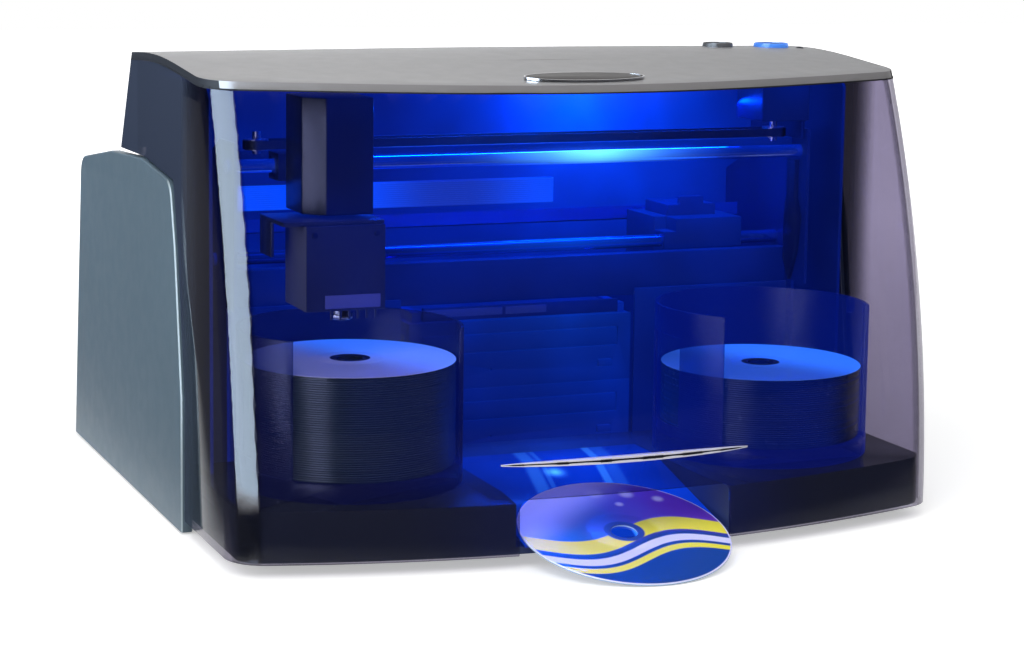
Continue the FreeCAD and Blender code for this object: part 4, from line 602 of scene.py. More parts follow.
# Both piles hold the same white discs: their faces and edges are lit and shaded copies, the left ones lighter,
# the right ones bluer and darker, with painted blue lamp light laid on as a glow.
BLANK_LEFT = RingedDisc("left_disc_face", "disc_white", (0.78, 0.80, 0.97), glow=(0.25, 1.6))
BLANK_RIGHT = RingedDisc("right_disc_face", "disc_white", (0.15, 0.28, 0.66), glow=(0.55, 1.8))
EDGE_LEFT = Plastic("left_disc_edges", "disc_white", (0.034, 0.062, 0.070), 0.22, pit=0.0, sheen=0.45,
                    wash=LampWash(0.04, 0.35, (-0.03, -0.08, 0.06), 0.11))
EDGE_RIGHT = Plastic("right_disc_edges", "disc_white", (0.006, 0.016, 0.035), 0.26, pit=0.0, sheen=0.2,
                     wash=LampWash(0.15, 0.30, (0.03, -0.08, 0.06), 0.11))
PRINT = DiscPrint("printed_face", "disc_print", (0.03, 0.16, 0.72))
CLEAR_RIM = Plastic("disc_rim", "disc_print", (0.40, 0.55, 0.75), 0.12, coat=0.5, pit=0.0)
# The flat cable's blue is painted lamp light on a white cable.
RIBBON = RibbonFoil("flat_cable", "ribbon_white", (0.030, 0.070, 0.36))
BLUE_LAMP = LampLens("blue_lamp", "lamp_blue", (0.02, 0.16, 1.0), strength=14.0)
BUTTON_RIM = Plastic("button_rim", "button_dark", (0.105, 0.108, 0.116), 0.30)
BLUE_RING = LampLens("button_ring", "lamp_blue", (0.05, 0.18, 0.62), strength=0.7)
DRIVE_LAMP = LampLens("drive_indicator", "lamp_blue", (0.10, 0.25, 1.0), strength=0.8)
# The arm strip's lavender blue is painted lamp light on a white strip.
ARM_STRIP = Plastic("arm_strip_lamp_blue", "ribbon_white", (0.12, 0.16, 0.55), 0.35, wash=ROBOT_WASH)


# ------------------------------------------------------------------ mesh building
FaceTest = Callable[[BMFace], bool]
SAME_PLACE = 2e-6


def merged_copy(node: str) -> BMesh:
    """Gives a copy of a node's mesh with its doubled corners merged."""
    part = bmesh.new()
    part.from_mesh(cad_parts[node].data)
    bmesh.ops.remove_doubles(part, verts=part.verts[:], dist=SAME_PLACE)
    return part


class Shape:
    """A bmesh with the operators that the pieces of this machine need."""

    def __init__(self) -> None:
        """Starts an empty shape."""
        self.bm = bmesh.new()

    def block(self, low: Place, high: Place, bevel: float) -> "Shape":
        """Adds a box between two corners, with its edges bevelled."""
        low, high = Vector(low), Vector(high)
        matrix = Matrix.Translation((low + high) / 2) @ Matrix.Diagonal((*(high - low), 1.0))
        verts = bmesh.ops.create_cube(self.bm, size=1.0, matrix=matrix)["verts"]
        edges = dict.fromkeys(edge for vert in verts for edge in vert.link_edges)
        self.bevel(edges, min(bevel, min(high - low) * 0.45))
        return self

    def bevel(self, edges: Iterable[BMEdge], width: float, segments: int = 2) -> None:
        """Rounds the given edges."""
        bmesh.ops.bevel(self.bm, geom=list(edges), offset=width, offset_type="OFFSET",
                        segments=segments, profile=0.5, affect="EDGES", clamp_overlap=True, material=-1)

    def bar(self, start: Place, axis: Axis, length: float, radius: float,
            bevel: float, sides: int = 24) -> "Shape":
        """Adds a round bar with rounded rims.

        Args:
            start: the middle of its first end.
            axis: the way that it runs.
            length: how long it is; a negative length runs backwards.
            radius: its radius.
            bevel: the width of the rounding of both rims.
            sides: the number of sides.

        Returns:
            The shape itself.
        """
        matrix = Matrix.Translation(Vector(start) + axis.vector * (length / 2)) @ axis.turn
        verts = bmesh.ops.create_cone(self.bm, cap_ends=True, cap_tris=False, segments=sides, radius1=radius,
                                      radius2=radius, depth=abs(length), matrix=matrix)["verts"]
        edges = dict.fromkeys(edge for vert in verts for edge in vert.link_edges)
        self.bevel([edge for edge in edges
                    if abs((edge.verts[0].co - edge.verts[1].co).dot(axis.vector)) < 1e-6], bevel)
        return self

    def lathe(self, outline: Outline, centre: Place, sides: int = 64,
              closed: bool = True) -> "Shape":
        """Spins an outline of (radius, height) about an upright axis.

        Args:
            outline: the points of the outline in order.
            centre: where height 0 lies on the axis.
            sides: the steps of a full turn.
            closed: whether the last point joins the first.

        Returns:
            The shape itself.
        """
        turns = [math.tau * step / sides for step in range(sides)]
        middle = Vector(centre)
        rings = [[self.bm.verts.new(middle + Vector((radius * math.cos(turn), radius * math.sin(turn), height)))
                  for turn in (turns if radius > 0.0 else turns[:1])] for radius, height in outline]
        pairs = list(zip(rings, rings[1:])) + ([(rings[-1], rings[0])] if closed else [])
        faces = [self.bm.faces.new(dict.fromkeys(
            (one[step % len(one)], one[(step + 1) % len(one)],
             two[(step + 1) % len(two)], two[step % len(two)]))) for one, two in pairs for step in range(sides)]
        bmesh.ops.recalc_face_normals(self.bm, faces=faces)
        return self

    def merge(self, part: BMesh) -> None:
        """Adds another bmesh to this one and frees it."""
        mesh = bpy.data.meshes.new("part")
        part.to_mesh(mesh)
        part.free()
        self.bm.from_mesh(mesh)
        bpy.data.meshes.remove(mesh)

    def node(self, name: str) -> "Shape":
        """Adds a merged copy of one of the frame's nodes, its flat faces joined."""
        part = merged_copy(name)
        bmesh.ops.dissolve_limit(part, angle_limit=math.radians(0.4), use_dissolve_boundaries=False,
                                 verts=part.verts[:], edges=part.edges[:])
        self.merge(part)
        return self

    def soften(self, width: float, segments: int = 2, angle: float = 40.0) -> "Shape":
        """Rounds every edge that turns by more than an angle in degrees."""
        limit = math.radians(angle)
        sharp = [edge for edge in self.bm.edges
                 if len(edge.link_faces) == 2 and edge.calc_face_angle(0.0) > limit]
        self.bevel(sharp, width, segments)
        return self

    def piece(self, name: str, finish: Finish, body: str, stands_for: Sequence[str] = (),
              sharp: float = 35.0, uv: Optional[Callable[[Vector], Pair]] = None,
              second: Optional[tuple[Finish, FaceTest]] = None) -> Object:
        """Turns the shape into a finished piece.

        Args:
            name: the piece's name.
            finish: its finish.
            body: the body that it rides on.
            stands_for: nodes of the frame that it replaces.
            sharp: edges that turn by more degrees than this stay sharp in the shading.
            uv: gives the UV of a place, where the finish needs one.
            second: another finish, with the test that picks its faces.

        Returns:
            The new object.
        """
        limit = math.radians(sharp)
        for edge in self.bm.edges:
            edge.smooth = len(edge.link_faces) != 2 or edge.calc_face_angle(0.0) < limit
        layer = self.bm.loops.layers.uv.new("UVMap") if uv is not None else None
        for face in self.bm.faces:
            face.smooth = True
            face.material_index = 1 if second is not None and second[1](face) else 0
            if layer is not None:
                for loop in face.loops:
                    loop[layer].uv = uv(loop.vert.co)
        mesh = bpy.data.meshes.new(name)
        self.bm.to_mesh(mesh)
        self.bm.free()
        mesh.materials.append(finish.material())
        if second is not None:
            mesh.materials.append(second[0].material())
        piece = bpy.data.objects.new(name, mesh)
        bpy.context.scene.collection.objects.link(piece)
        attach(piece, body)
        if stands_for:
            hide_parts(*stands_for)
        log.info("%s: %d faces on %s", name, len(mesh.polygons), body)
        return piece


class SubAssembly:
    """What every sub-assembly can do to the nodes of the frame."""

    def build(self) -> None:
        """Builds and dresses the sub-assembly."""
        raise NotImplementedError

    @staticmethod
    def dress(finish: Finish, *nodes: str) -> None:
        """Gives a finish to nodes of the frame whose shape is right as it is."""
        for name in nodes:
            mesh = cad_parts[name].data
            mesh.materials.clear()
            mesh.materials.append(finish.material())
            log.info("%s: dressed in %s", name, finish.name)

    @staticmethod
    def soften(node: str, finish: Finish, width: float, body: str = "base", segments: int = 2,
               second: Optional[tuple[Finish, FaceTest]] = None) -> Object:
        """Stands a copy with rounded edges in the place of one node.

        Args:
            node: the node that is copied and replaced.
            finish: the copy's finish.
            width: the width of the rounding.
            body: the body that it rides on.
            segments: the steps of the rounding.
            second: another finish, with the test that picks its faces.

        Returns:
            The copy.
        """
        shape = Shape().node(node).soften(width, segments)
        return shape.piece(node + "_form", finish, body, (node,), second=second)


# ------------------------------------------------------------------ sub-assemblies
@dataclass
class Lid(SubAssembly):
    """The lift-up lid: smoked window, top panel, badge lens, finger pull and buttons."""

    band: float = 0.0008
    band_proud: float = 0.0002
    rim_step: float = 0.02
    rim_width: float = 0.0009
    rim_height: float = 0.0011
    rim_low: float = 0.0002
    rim_drop: float = 0.0014
    ring_width: float = 0.0016
    lip_height: float = 0.30
    lip_gap: float = 0.0012
    slot_height: float = 0.45
    slot_proud: float = 0.55
    blade_columns: float = 2000.0
    blade_cut: float = 0.008
    blade_reach: float = 1.02
    blade_tip: float = 0.35
    fold: float = math.radians(40)
    steep: float = 0.55
    level: float = 0.8
    skirt: float = 0.30
    join: float = 5e-5
    lap: float = 0.0015
    collar: float = 0.0014
    dish: float = 0.0012
    ring_depth: float = 0.006
    ring_gap: float = 0.00005
    indicator_drop: float = 0.0042
    indicator: Pair = (0.2055, 0.006)
    indicator_radius: float = 0.0026

    def build(self) -> None:
        """Builds the lid."""
        self.soften("lid_window", SMOKED, 0.0007, "lid")
        self.soften("lid_top_panel", PANEL, 0.0009, "lid", 3,
                    (GASKET, lambda side: side.normal.z < self.skirt))
        self.dress(HOUSING, "lid_back_plate")
        self.window_band()
        self.soften("lid_badge", LENS, 0.0006, "lid", 3)
        self.badge_rim()
        self.pull()
        self.button("feed_button", "feed_key", BUTTON, BUTTON_RIM)
        self.button("power_button", "power_key", BUTTON, BLUE_RING)
        self.indicator_lens()

    def window_band(self) -> None:
        """A dark sealing band round the top of the window, just under the panel."""
        part = merged_copy("lid_window")
        shape = Shape()
        for edge in part.edges:
            if len(edge.link_faces) != 2 or edge.calc_face_angle(0.0) < self.fold:
                continue
            walls = [face for face in edge.link_faces if abs(face.normal.z) < self.steep]
            tops = [face for face in edge.link_faces if face.normal.z > self.level]
            if len(walls) == len(tops) == 1 and walls[0].normal.dot(walls[0].calc_center_median()) > 0:
                self.band_face(shape.bm, edge, walls[0].normal)
        part.free()
        bmesh.ops.remove_doubles(shape.bm, verts=shape.bm.verts[:], dist=self.join)
        bmesh.ops.solidify(shape.bm, geom=shape.bm.faces[:], thickness=self.band_proud * 1.5)
        bmesh.ops.recalc_face_normals(shape.bm, faces=shape.bm.faces[:])
        shape.piece("lid_window_band", GASKET, "lid")

    def band_face(self, bm: BMesh, edge: BMEdge, normal: Vector) -> None:
        """Adds the stretch of band below one top edge of the window.

        Args:
            bm: the band's mesh.
            edge: the window's edge.
            normal: the outward normal of the wall below it.
        """
        first, last = (vert.co + normal * self.band_proud for vert in edge.verts)
        drop = (Vector((0, 0, -1)) + normal * normal.z).normalized() * self.band
        face = bm.faces.new([bm.verts.new(corner) for corner in (first, last, last + drop, first + drop)])
        face.normal_update()
        if face.normal.dot(normal) < 0:
            face.normal_flip()

    def badge_rim(self) -> None:
        """A thin bright rim round the badge lens."""
        low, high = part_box("lid_badge")
        centre, half = (low + high) / 2, (high - low) / 2
        outer = 1.0 + self.rim_step
        shape = Shape().lathe([(1.0, 0.0), (outer, 0.0), (outer, 1.0), (1.0, 1.0)], (0, 0, 0), sides=96)
        rise = high.z - low.z - self.rim_drop
        for vert in shape.bm.verts:
            grow = (vert.co.xy.length - 1.0) / self.rim_step * self.rim_width
            angle = math.atan2(vert.co.y, vert.co.x)
            x = centre.x + (half.x + grow) * math.cos(angle)
            y = centre.y + (half.y + grow) * math.sin(angle)
            lean = rise * (y - low.y) / (high.y - low.y)
            vert.co = Vector((x, y, low.z + self.rim_low + lean + vert.co.z * self.rim_height))
        shape.piece("badge_rim", TRIM, "lid")

    def pull(self) -> None:
        """The finger pull: two slim polished lips that meet at their ends, with a dark slot between; the lips
        are the pull's edges, made light silver as a painted highlight of the light they catch.
        """
        lips, slot = Shape(), Shape()
        for offset in (self.lip_gap, -self.lip_gap):
            lips.merge(self.pull_blade(self.lip_height, offset, 1.0))
        lips.soften(0.0003).piece("finger_pull_lips", PULL_SILVER_HIGHLIGHT, "lid", ("finger_pull",))
        slot.merge(self.pull_blade(self.slot_height, 0.0, self.slot_proud))
        slot.piece("finger_pull_slot", GASKET, "lid")

    def pull_blade(self, height: float, offset: float, proud: float) -> BMesh:
        """A copy of the pull's bar, drawn to a blade that tapers to both ends.

        Args:
            height: the share of the bar's height that the blade has at its middle.
            offset: how far it lies above the middle line there, in metres.
            proud: the share of the bar's depth that it stands out.

        Returns:
            The blade.
        """
        part = merged_copy("finger_pull")
        low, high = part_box("finger_pull")
        middle, half = (low.z + high.z) / 2, (high.x - low.x) / 2
        along = [edge for edge in part.edges if abs(edge.verts[0].co.x - edge.verts[1].co.x) > self.blade_cut]
        bmesh.ops.subdivide_edges(part, edges=along, cuts=3)
        backs: dict[int, float] = {}
        for vert in part.verts:
            column = round(vert.co.x * self.blade_columns)
            backs[column] = max(backs.get(column, -1.0), vert.co.y)
        for vert in part.verts:
            taper = math.sqrt(max(0.0, 1.0 - (vert.co.x / (half * self.blade_reach)) ** 2))
            back = backs[round(vert.co.x * self.blade_columns)]
            vert.co.y = back + (vert.co.y - back) * proud
            vert.co.z = middle + (vert.co.z - middle) * height * max(taper, self.blade_tip) + offset * taper
        return part

    def button(self, node: str, body: str, cap: Finish, ring: Finish) -> None:
        """A round button: a dished cap with a ring of its own finish round it."""
        low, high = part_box(node)
        centre = (low + high) / 2
        top = high.z - low.z
        radius = (high.x - low.x) / 2 - self.lap
        inner = radius - self.ring_width
        start = inner + self.ring_gap
        Shape().lathe([
            (0.0, 0.0), (radius + self.collar, 0.0), (radius + self.collar, 0.0011), (inner, 0.0012),
            (inner, top - self.dish), (inner - 0.0005, top - 0.0004), (inner * 0.5, top - 0.0010),
            (0.0, top - self.dish),
        ], (centre.x, centre.y, low.z), closed=False).piece(node + "_cap", cap, body, (node,))
        Shape().lathe([
            (start, top - self.ring_depth), (radius, top - self.ring_depth), (radius, top - 0.0008),
            (radius - 0.0006, top), (inner + 0.0004, top), (start, top - 0.0006),
        ], (centre.x, centre.y, low.z)).piece(node + "_ring", ring, body)

    def indicator_lens(self) -> None:
        """The small indicator beside the buttons."""
        x, y = self.indicator
        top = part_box("power_button")[1].z - self.indicator_drop
        Shape().lathe([
            (0.0, 0.0), (self.indicator_radius, 0.0), (self.indicator_radius, 0.0012),
            (self.indicator_radius * 0.6, 0.0018), (0.0, 0.0020),
        ], (x, y, top), sides=32, closed=False).piece("indicator_lens", GASKET, "lid")


@dataclass
class Casing(SubAssembly):
    """The cheeks, the rear housing, the base with its chute, and the feet."""

    edge_turn: Pair = (0.25, 0.90)
    edge_ahead: float = 0.25

    def on_edge(self, face: BMFace) -> bool:
        """Tells whether a face belongs to the bevelled front edge of a cheek, which carries a painted
        highlight.
        """
        least, most = self.edge_turn
        return least < abs(face.normal.x) < most and face.normal.y < -self.edge_ahead

    def build(self) -> None:
        """Builds the casing."""
        for side in ("left", "right"):
            # The cheeks' front edges get the lighter copy, a painted highlight.
            self.soften("side_cheek_" + side, CHEEK, 0.0008, "base", 2, (CHEEK_EDGE_HIGHLIGHT, self.on_edge))
        self.soften("rear_housing", HOUSING, 0.0006)
        self.soften("base_tray", CHARCOAL, 0.0008)
        self.soften("chute_ramp", CHUTE, 0.0004)
        self.dress(RUBBER, "rubber_feet")
        self.dress(STEEL, "hinge_pins")


@dataclass(frozen=True)
class DiscForm:
    """The standard disc: its sizes and its section."""

    radius: float = 0.060
    bore: float = 0.0075
    half: float = 0.0006
    rim: float = 0.0003
    clamp: float = 0.0168
    ring: Pair = (0.0182, 0.023)
    ring_run: Pair = (0.0004, 0.0005)
    groove: float = 0.0001

    def outline(self) -> Outline:
        """Gives the section of a disc: rounded rims, a stacking ring and a flat face."""
        bore, radius, half, rim = self.bore, self.radius, self.half, self.rim
        (inner, outer), (rise, fall) = self.ring, self.ring_run
        floor = half - self.groove
        return [
            (bore, rim - half), (bore + rim, -half), (self.clamp, -half), (radius - rim, -half),
            (radius, rim - half), (radius, half - rim), (radius - rim, half), (outer, half),
            (outer - fall, floor), (inner + rise, floor), (inner, half), (bore + rim, half),
            (bore, half - rim),
        ]

    def lay(self, name: str, node: str, body: str, face: Finish, edge: Finish, matrix: Matrix) -> None:
        """Builds one disc whose upper face has a finish of its own.

        Args:
            name: the piece's name.
            node: the node that it replaces.
            body: the body that it rides on.
            face: the finish of its upper face.
            edge: the finish of the rest.
            matrix: where it lies.
        """
        shape = Shape().lathe(self.outline(), (0, 0, 0), sides=128)
        bmesh.ops.transform(shape.bm, matrix=matrix, verts=shape.bm.verts[:])
        back, up = matrix.inverted(), matrix.to_3x3() @ Vector((0, 0, 1))

        def flat(place: Vector) -> Pair:
            """Gives the disc's own flat coordinates, 1 at its rim."""
            return tuple((back @ place).xy / self.radius)

        shape.piece(name, face, body, (node,), uv=flat, second=(edge, lambda side: side.normal.dot(up) < 0.7))


@dataclass
class PrintedDisc(SubAssembly):
    """The finished disc that lies in the chute."""

    slope: float = math.radians(13.6)

    def build(self) -> None:
        """Builds the disc with its printed face."""
        low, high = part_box("printed_disc")
        matrix = Matrix.Translation((low + high) / 2) @ Matrix.Rotation(self.slope, 4, "X")
        DiscForm().lay("printed_disc_face", "printed_disc", "ejected_disc", PRINT, CLEAR_RIM, matrix)


@dataclass
class DiscBin(SubAssembly):
    """One bin and the pile of discs in it."""

    side: str
    count: int
    smoke: Finish
    face: Finish
    edge: Finish
    hook: Optional[Place] = None
    hook_length: float = 0.009
    hook_radius: float = 0.0024
    pitch: float = 0.00125
    slip: float = 0.00022
    play: float = 0.0002
    flat: float = 0.4
    sway: Pair = (2.3, 1.7)
    disc: DiscForm = DiscForm()

    def build(self) -> None:
        """Builds the bin, its pile and its hook."""
        body = self.side + "_bin"
        self.soften("bin_" + self.side, self.smoke, 0.0006, body)
        self.pile(body)
        if self.hook is not None:
            hook = Shape().bar(self.hook, Axis.Z, self.hook_length, self.hook_radius, 0.0006)
            hook.piece("bin_hook_" + self.side, self.smoke, body)

    def pile(self, body: str) -> None:
        """The pile: plain rims below and a full blank disc on top."""
        node = "disc_stack_" + self.side
        low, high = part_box(node)
        centre = (low + high) / 2
        half, bore, rim = self.disc.half, self.disc.bore, self.disc.radius - self.play
        outline = [(bore, -half), (rim - self.play, -half), (rim, -half * self.flat),
                   (rim, half * self.flat), (rim - self.play, half), (bore, half)]
        pile = Shape()
        for index in range(self.count - 1):
            pile.lathe(outline, (centre.x + self.slip * math.sin(index * self.sway[0]),
                                 centre.y + self.slip * math.cos(index * self.sway[1]),
                                 low.z + half + index * self.pitch), sides=72)
        pile.piece("disc_pile_" + self.side, self.edge, body)
        matrix = Matrix.Translation((centre.x, centre.y, high.z - half))
        self.disc.lay("top_disc_" + self.side, node, body, self.face, self.edge, matrix)


@dataclass
class OpticalDrive(SubAssembly):
    """One optical drive: case, bezel, tray front, eject button and its lamp."""

    level: str
    lamp_x: float = -0.048
    lamp_radius: float = 0.0009

    def build(self) -> None:
        """Builds the drive."""
        self.soften("drive_bezel_" + self.level, BEZEL, 0.0005)
        self.soften("drive_tray_" + self.level, BEZEL, 0.0004, self.level + "_drive_tray")
        self.soften("eject_button_" + self.level, BEZEL, 0.0004, self.level + "_eject_key")
        self.dress(DRIVE_STEEL, "drive_case_" + self.level)
        key_low, key_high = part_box("eject_button_" + self.level)
        place = (self.lamp_x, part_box("drive_bezel_" + self.level)[0].y, (key_low.z + key_high.z) / 2)
        Shape().lathe([
            (0.0, 0.0), (self.lamp_radius, 0.0), (self.lamp_radius, 0.0003), (0.0, 0.0006),
        ], place, sides=20, closed=False).piece("drive_lamp_" + self.level, DRIVE_LAMP, "base")


@dataclass
class Printer(SubAssembly):
    """The printer: tray, rails, carriage with its cartridge, rods, belts and pulleys."""

    split: float = -0.012
    label_end: float = 0.016
    label_gap: float = 0.001
    label_under: float = 0.0022
    label_over: float = 0.0012

    def build(self) -> None:
        """Builds the printer."""
        self.soften("printer_tray", PRINTER, 0.0005, "print_disc_tray")
        self.dress(WORKS_STEEL, "tray_rails")
        self.soften("print_carriage", PRINTER, 0.0008, "ink_carriage")
        self.soften("ink_cartridge", INK, 0.0008, "cartridge")
        self.dress(ROD, "robot_rod")
        self.dress(LOW_ROD, "print_rod")
        self.dress(BELT, "drive_belts")
        self.dress(BRASS, "print_pulley", "print_idler", "traverse_pulley", "traverse_idler")
        self.dress(FILM, "encoder_strip")
        self.soften("belt_motors", MOTOR, 0.0008)
        self.tray_labels()

    def tray_labels(self) -> None:
        """Two pale bare strips on the tray's front."""
        low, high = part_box("printer_tray")
        gap = self.label_gap
        spans = ((low.x + gap, self.split - gap), (self.split + gap, self.label_end))
        for index, (left, right) in enumerate(spans):
            label = Shape().block((left, low.y - 0.0004, low.z + self.label_under),
                                  (right, low.y + 0.0002, high.z - self.label_over), 0.0002)
            label.piece(f"tray_label_{index + 1}", LABEL, "print_disc_tray")


@dataclass
class Robot(SubAssembly):
    """The robot: traverse block, column, arm box, mast, gripper and flat cable."""

    screw: float = 0.0017
    screw_head: float = 0.0010
    screw_inset: float = 0.005
    box_height: float = 0.048
    strip_height: float = 0.0075
    strip_above: float = 0.0015
    strip_inset: Pair = (0.011, 0.003)
    side_turn: float = 0.6

    def build(self) -> None:
        """Builds the robot."""
        self.soften("robot_carriage", ROBOT, 0.0006, "robot")
        self.soften("robot_column", ROBOT, 0.0010, "robot")
        # The arm box's left faces get the lighter copy: painted light.
        self.soften("arm_box", ARM, 0.0012, "arm", 2,
                    (ARM_LIT_SIDE, lambda face: face.normal.x < -self.side_turn))
        self.soften("arm_mast", ARM, 0.0005, "arm")
        self.soften("gripper_nose", STEEL, 0.0003, "gripper")
        self.dress(RIBBON, "ribbon_cable")
        self.arm_details()

    def arm_details(self) -> None:
        """The arm's pale strip and its screws."""
        low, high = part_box("arm_box")
        front, strip_low = low.y, high.z - self.box_height + self.strip_above
        left, right = self.strip_inset
        strip = Shape().block((low.x + left, front - 0.0006, strip_low),
                              (high.x - right, front + 0.0004, strip_low + self.strip_height), 0.0003)
        strip.piece("arm_strip", ARM_STRIP, "arm")
        heads = Shape()
        inset = self.screw_inset
        for x in (low.x + inset, high.x - inset):
            heads.bar((x, front + 0.0002, high.z - inset), Axis.Y, -self.screw_head, self.screw, 0.0003)
        heads.piece("arm_screws", ROBOT, "arm")


@dataclass
class Chassis(SubAssembly):
    """The plates, beams, guard, cage and rear wall that carry the works, with the lamps."""

    screen_inner: float = 0.0765
    screen_outer: float = 0.1830
    screen_y: float = 0.0615
    screen_depth: float = 0.001
    screen_low: float = 0.014
    screen_high: float = 0.1215

    def build(self) -> None:
        """Builds the chassis."""
        self.dress(WALL, "rear_wall")
        self.dress(CHASSIS, "side_plates", "frame_plates", "drive_cage")
        self.soften("frame_beams", PRINTER, 0.0006)
        self.soften("bay_panels", BAY, 0.0005)
        self.soften("belt_guard", ROBOT, 0.0005)
        self.dress(BLUE_LAMP, "lamp_board")
        self.screens()

    def screens(self) -> None:
        """The two dark screens that close the bay behind the drives."""
        shape = Shape()
        for side in (-1.0, 1.0):
            near, far = sorted((side * self.screen_inner, side * self.screen_outer))
            shape.block((near, self.screen_y, self.screen_low),
                        (far, self.screen_y + self.screen_depth, self.screen_high), 0.0002)
        shape.piece("bay_screens", BAY, "base")


@dataclass
class RearPanel(SubAssembly):
    """What shows in the rear window, and the electronics behind it."""

    def build(self) -> None:
        """Builds the rear panel."""
        self.soften("back_plate", BACK_STEEL, 0.0002)
        self.soften("fan_frame", HOUSING, 0.0006)
        self.soften("fan_rotor", ROBOT, 0.0003, "fan")
        self.soften("rear_sockets", HOUSING, 0.0003)
        self.soften("power_switch", BUTTON, 0.0005, "power_rocker")
        self.dress(SUPPLY, "electronics")


# ------------------------------------------------------------------ studio
@dataclass
class Studio:
    """A white studio: floor, soft sky, lamps and the camera."""

    camera_place: Place = (-0.548867, -1.338518, 0.349938)
    yaw: float = 0.3746
    pitch: float = 0.1340
    roll: float = 0.0108
    lens: float = 83.17
    shift: Pair = (0.0397, -0.0801)
    sky: float = 0.55
    floor_size: float = 6.0
    strip: float = 13.0
    lamp_blue: Colour = (0.0, 0.06, 1.0)
    bar_width: float = 0.008
    cool: Colour = (0.66, 0.83, 1.0)
    bearing: float = -1.28
    band_edge: Pair = (0.52, 0.58)
    corner: Place = (-0.19, -0.19, 0.0)
    floor_white: float = 0.82
    floor_lift: Pair = (0.42, 0.95)
    floor_away: Pair = (0.5, 1.6)
    dark_ahead: Pair = (-0.23, -0.15)
    dark_left: Pair = (-0.27, -0.21)
    band_start: Pair = (0.18, 0.34)
    room_top: Pair = (0.55, 0.95)
    room_back: Pair = (-0.1, 0.7)
    room_left: Pair = (-0.30, 0.05)
    room_right: Pair = (0.28, 0.55)
    middle: Place = (0.0, 0.0, 0.12)

    def build(self) -> None:
        """Sets the stage."""
        scene = bpy.context.scene
        scene.view_settings.view_transform = "Standard"
        self.camera()
        self.floor()
        self.world()
        self.lamp("key_lamp", (-0.9, -1.3, 1.7), 1.3, 24.0)
        self.lamp("side_lamp", (-1.7, -0.7, 0.55), 0.8, 8.0)
        self.lamp("fill_lamp", (1.5, -0.2, 1.4), 1.2, 5.0)
        self.lamp("wall_lamp", (0.075, 0.040, 0.244), 0.08, 0.45, Vector((0.0, 0.45, -1.0)))
        self.lamp("bay_lamp", (0.03, -0.015, 0.240), 0.24, 0.9, Vector((0.0, -0.45, -1.0)))

    def camera(self) -> None:
        """Places the camera by its yaw, pitch and roll."""
        forward = Vector((math.sin(self.yaw) * math.cos(self.pitch),
                          math.cos(self.yaw) * math.cos(self.pitch), -math.sin(self.pitch)))
        level = Vector((math.cos(self.yaw), -math.sin(self.yaw), 0.0))
        above = level.cross(forward)
        right = level * math.cos(self.roll) + above * math.sin(self.roll)
        up = above * math.cos(self.roll) - level * math.sin(self.roll)
        data = bpy.data.cameras.new("studio_camera")
        data.lens = self.lens
        data.sensor_width = 36.0
        data.shift_x, data.shift_y = self.shift
        camera = bpy.data.objects.new("studio_camera", data)
        turn = Matrix((right, up, -forward)).transposed().to_4x4()
        camera.matrix_world = Matrix.Translation(self.camera_place) @ turn
        bpy.context.scene.collection.objects.link(camera)
        bpy.context.scene.camera = camera

    @staticmethod
    def seen(board: ShaderBoard) -> Socket:
        """Gives 1 for rays from the camera, a gloss or a clear body, 0 for others."""
        path = board.add("LightPath")
        direct = board.most(path.outputs["Is Camera Ray"], path.outputs["Is Glossy Ray"])
        return board.most(direct, path.outputs["Is Transmission Ray"])

    def floor(self) -> None:
        """A wide pale floor that keeps the machine's shadow."""
        shape = bmesh.new()
        bmesh.ops.create_grid(shape, x_segments=1, y_segments=1, size=self.floor_size)
        mesh = bpy.data.meshes.new("studio_floor")
        shape.to_mesh(mesh)
        shape.free()
        material = bpy.data.materials.new("studio_floor")
        board = ShaderBoard(material)
        ahead = board.span(board.axis(1), *self.dark_ahead, 0.95, 0.0)
        left = board.span(board.axis(0), *self.dark_left, 0.90, 0.0)
        glossy = board.add("LightPath").outputs["Is Glossy Ray"]
        band = board.times(glossy, self.floor_band(board))
        dim = board.times(glossy, board.most(ahead, left))
        lift = board.times(self.seen(board), board.span(board.reach(), *self.floor_away, *self.floor_lift))
        lift = board.times(lift, board.span(dim, 0.0, 1.0, 1.0, 0.0, smooth=False))
        lift = board.math("MULTIPLY_ADD", band, self.strip, lift)
        tint = board.blend(board.noise(3.0, 2.0), shade(WHITE, self.floor_white),
                           shade(WHITE, self.floor_white * 0.985))
        shader = board.principled(Base_Color=board.blend(dim, tint, (0.02, 0.02, 0.03)), Roughness=0.9,
                                  Specular_IOR_Level=0.0, Emission_Color=board.blend(band, WHITE, self.cool),
                                  Emission_Strength=lift)
        board.close(shader.outputs[0])
        mesh.materials.append(material)
        floor = bpy.data.objects.new("studio_floor", mesh)
        bpy.context.scene.collection.objects.link(floor)

    def floor_band(self, board: ShaderBoard) -> Socket:
        """The stretch of floor that carries the pale band down the front corner's reflection."""
        away = tuple(-part for part in self.corner)
        across, along = (board.part(board.place(shift=away), index) for index in range(2))
        return board.times(self.sector(board, across, along),
                           board.span(board.reach(self.corner), *self.band_start))

    def sector(self, board: ShaderBoard, across: Socket, along: Socket) -> Socket:
        """Gives 1 in the directions, at the machine's left front, that make the pale band."""
        bearing = board.math("ARCTAN2", across, board.times(along, -1.0))
        return board.within(board.off(bearing, self.bearing), *self.band_edge)

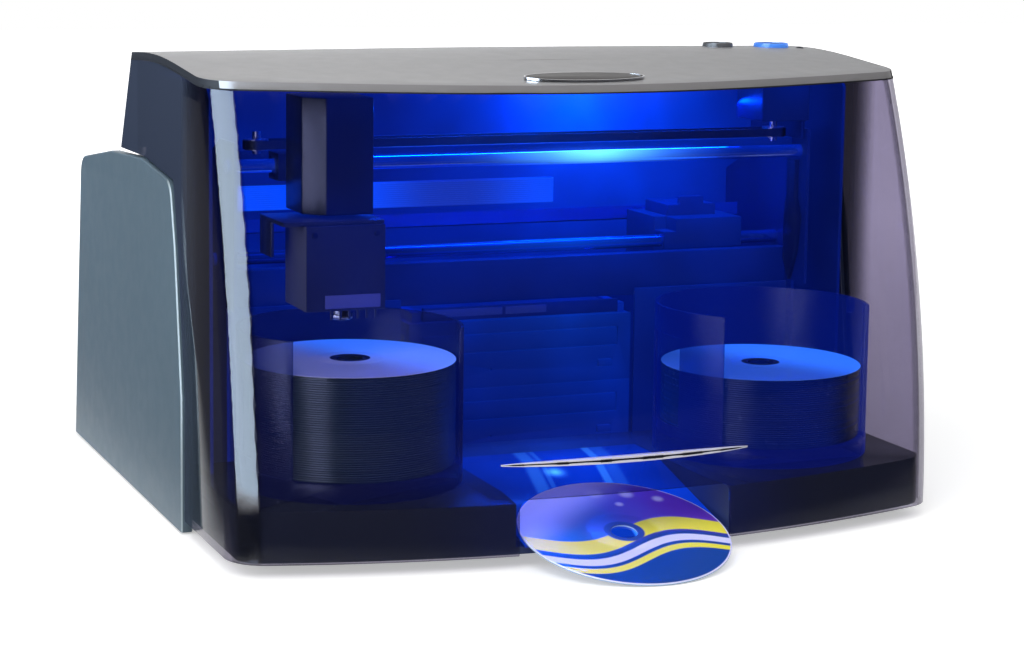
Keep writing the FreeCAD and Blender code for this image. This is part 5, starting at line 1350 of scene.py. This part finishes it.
    def world(self) -> None:
        """A white surround to the eye; to gloss a dim room with a bright strip at the left."""
        world = bpy.data.worlds.new("studio_sky")
        bpy.context.scene.world = world
        board = ShaderBoard(world)
        path = board.add("LightPath")
        direction = board.add("TexCoord").outputs["Generated"]
        x, y, z = (board.part(direction, index) for index in range(3))
        behind = board.times(board.span(y, *self.room_back, 0.02, 1.0), board.span(x, *self.room_left))
        behind = board.times(behind, board.span(x, *self.room_right, 1.0, 0.55))
        room = board.most(board.span(z, *self.room_top, 0.0, 0.75), behind)
        strip = board.times(self.sector(board, x, y), board.span(z, 0.9, 0.98, 1.0, 0.0))
        gloss = board.math("MULTIPLY_ADD", strip, self.strip, room)
        seen = board.most(path.outputs["Is Camera Ray"], path.outputs["Is Transmission Ray"])
        soft = board.span(seen, 0.0, 1.0, self.sky, 1.0, smooth=False)
        glossy = path.outputs["Is Glossy Ray"]
        strength = board.math("MULTIPLY_ADD", glossy, board.math("SUBTRACT", gloss, soft), soft)
        tint = board.blend(board.times(strip, glossy), WHITE, self.cool)
        sky = board.add("Background", {"Color": tint, "Strength": strength})
        board.close(sky.outputs[0], "OutputWorld")

    def lamp(self, name: str, place: Place, size: float, power: float,
             aim: Optional[Vector] = None) -> None:
        """Adds a soft box aimed at the machine, or one of its own blue bars.

        Args:
            name: the lamp's name.
            place: where it hangs.
            size: its width.
            power: its power in watts.
            aim: the way that a blue bar looks; a soft box has none.
        """
        data = bpy.data.lights.new(name, "AREA")
        data.size, data.energy = size, power
        if aim is not None:
            data.shape, data.size_y, data.color = "RECTANGLE", self.bar_width, self.lamp_blue
        lamp = bpy.data.objects.new(name, data)
        lamp.location = place
        lamp.rotation_mode = "QUATERNION"
        lamp.rotation_quaternion = (aim or Vector(self.middle) - Vector(place)).to_track_quat("-Z", "Y")
        lamp.visible_glossy = aim is not None
        bpy.context.scene.collection.objects.link(lamp)


def main() -> None:
    """Builds the machine and its studio."""
    logging.basicConfig(level=logging.INFO, format="%(message)s")
    parts: list[SubAssembly] = [
        Lid(), Casing(), Chassis(), PrintedDisc(),
        DiscBin("left", 47, BIN_LEFT, BLANK_LEFT, EDGE_LEFT),
        DiscBin("right", 33, BIN_RIGHT, BLANK_RIGHT, EDGE_RIGHT, (0.1925, -0.090, 0.115)),
        OpticalDrive("lower"), OpticalDrive("upper"), Printer(), Robot(), RearPanel(),
    ]
    for part in parts:
        log.info("building %s", type(part).__name__)
        part.build()
    Studio().build()


if __name__ == "__main__":
    main()
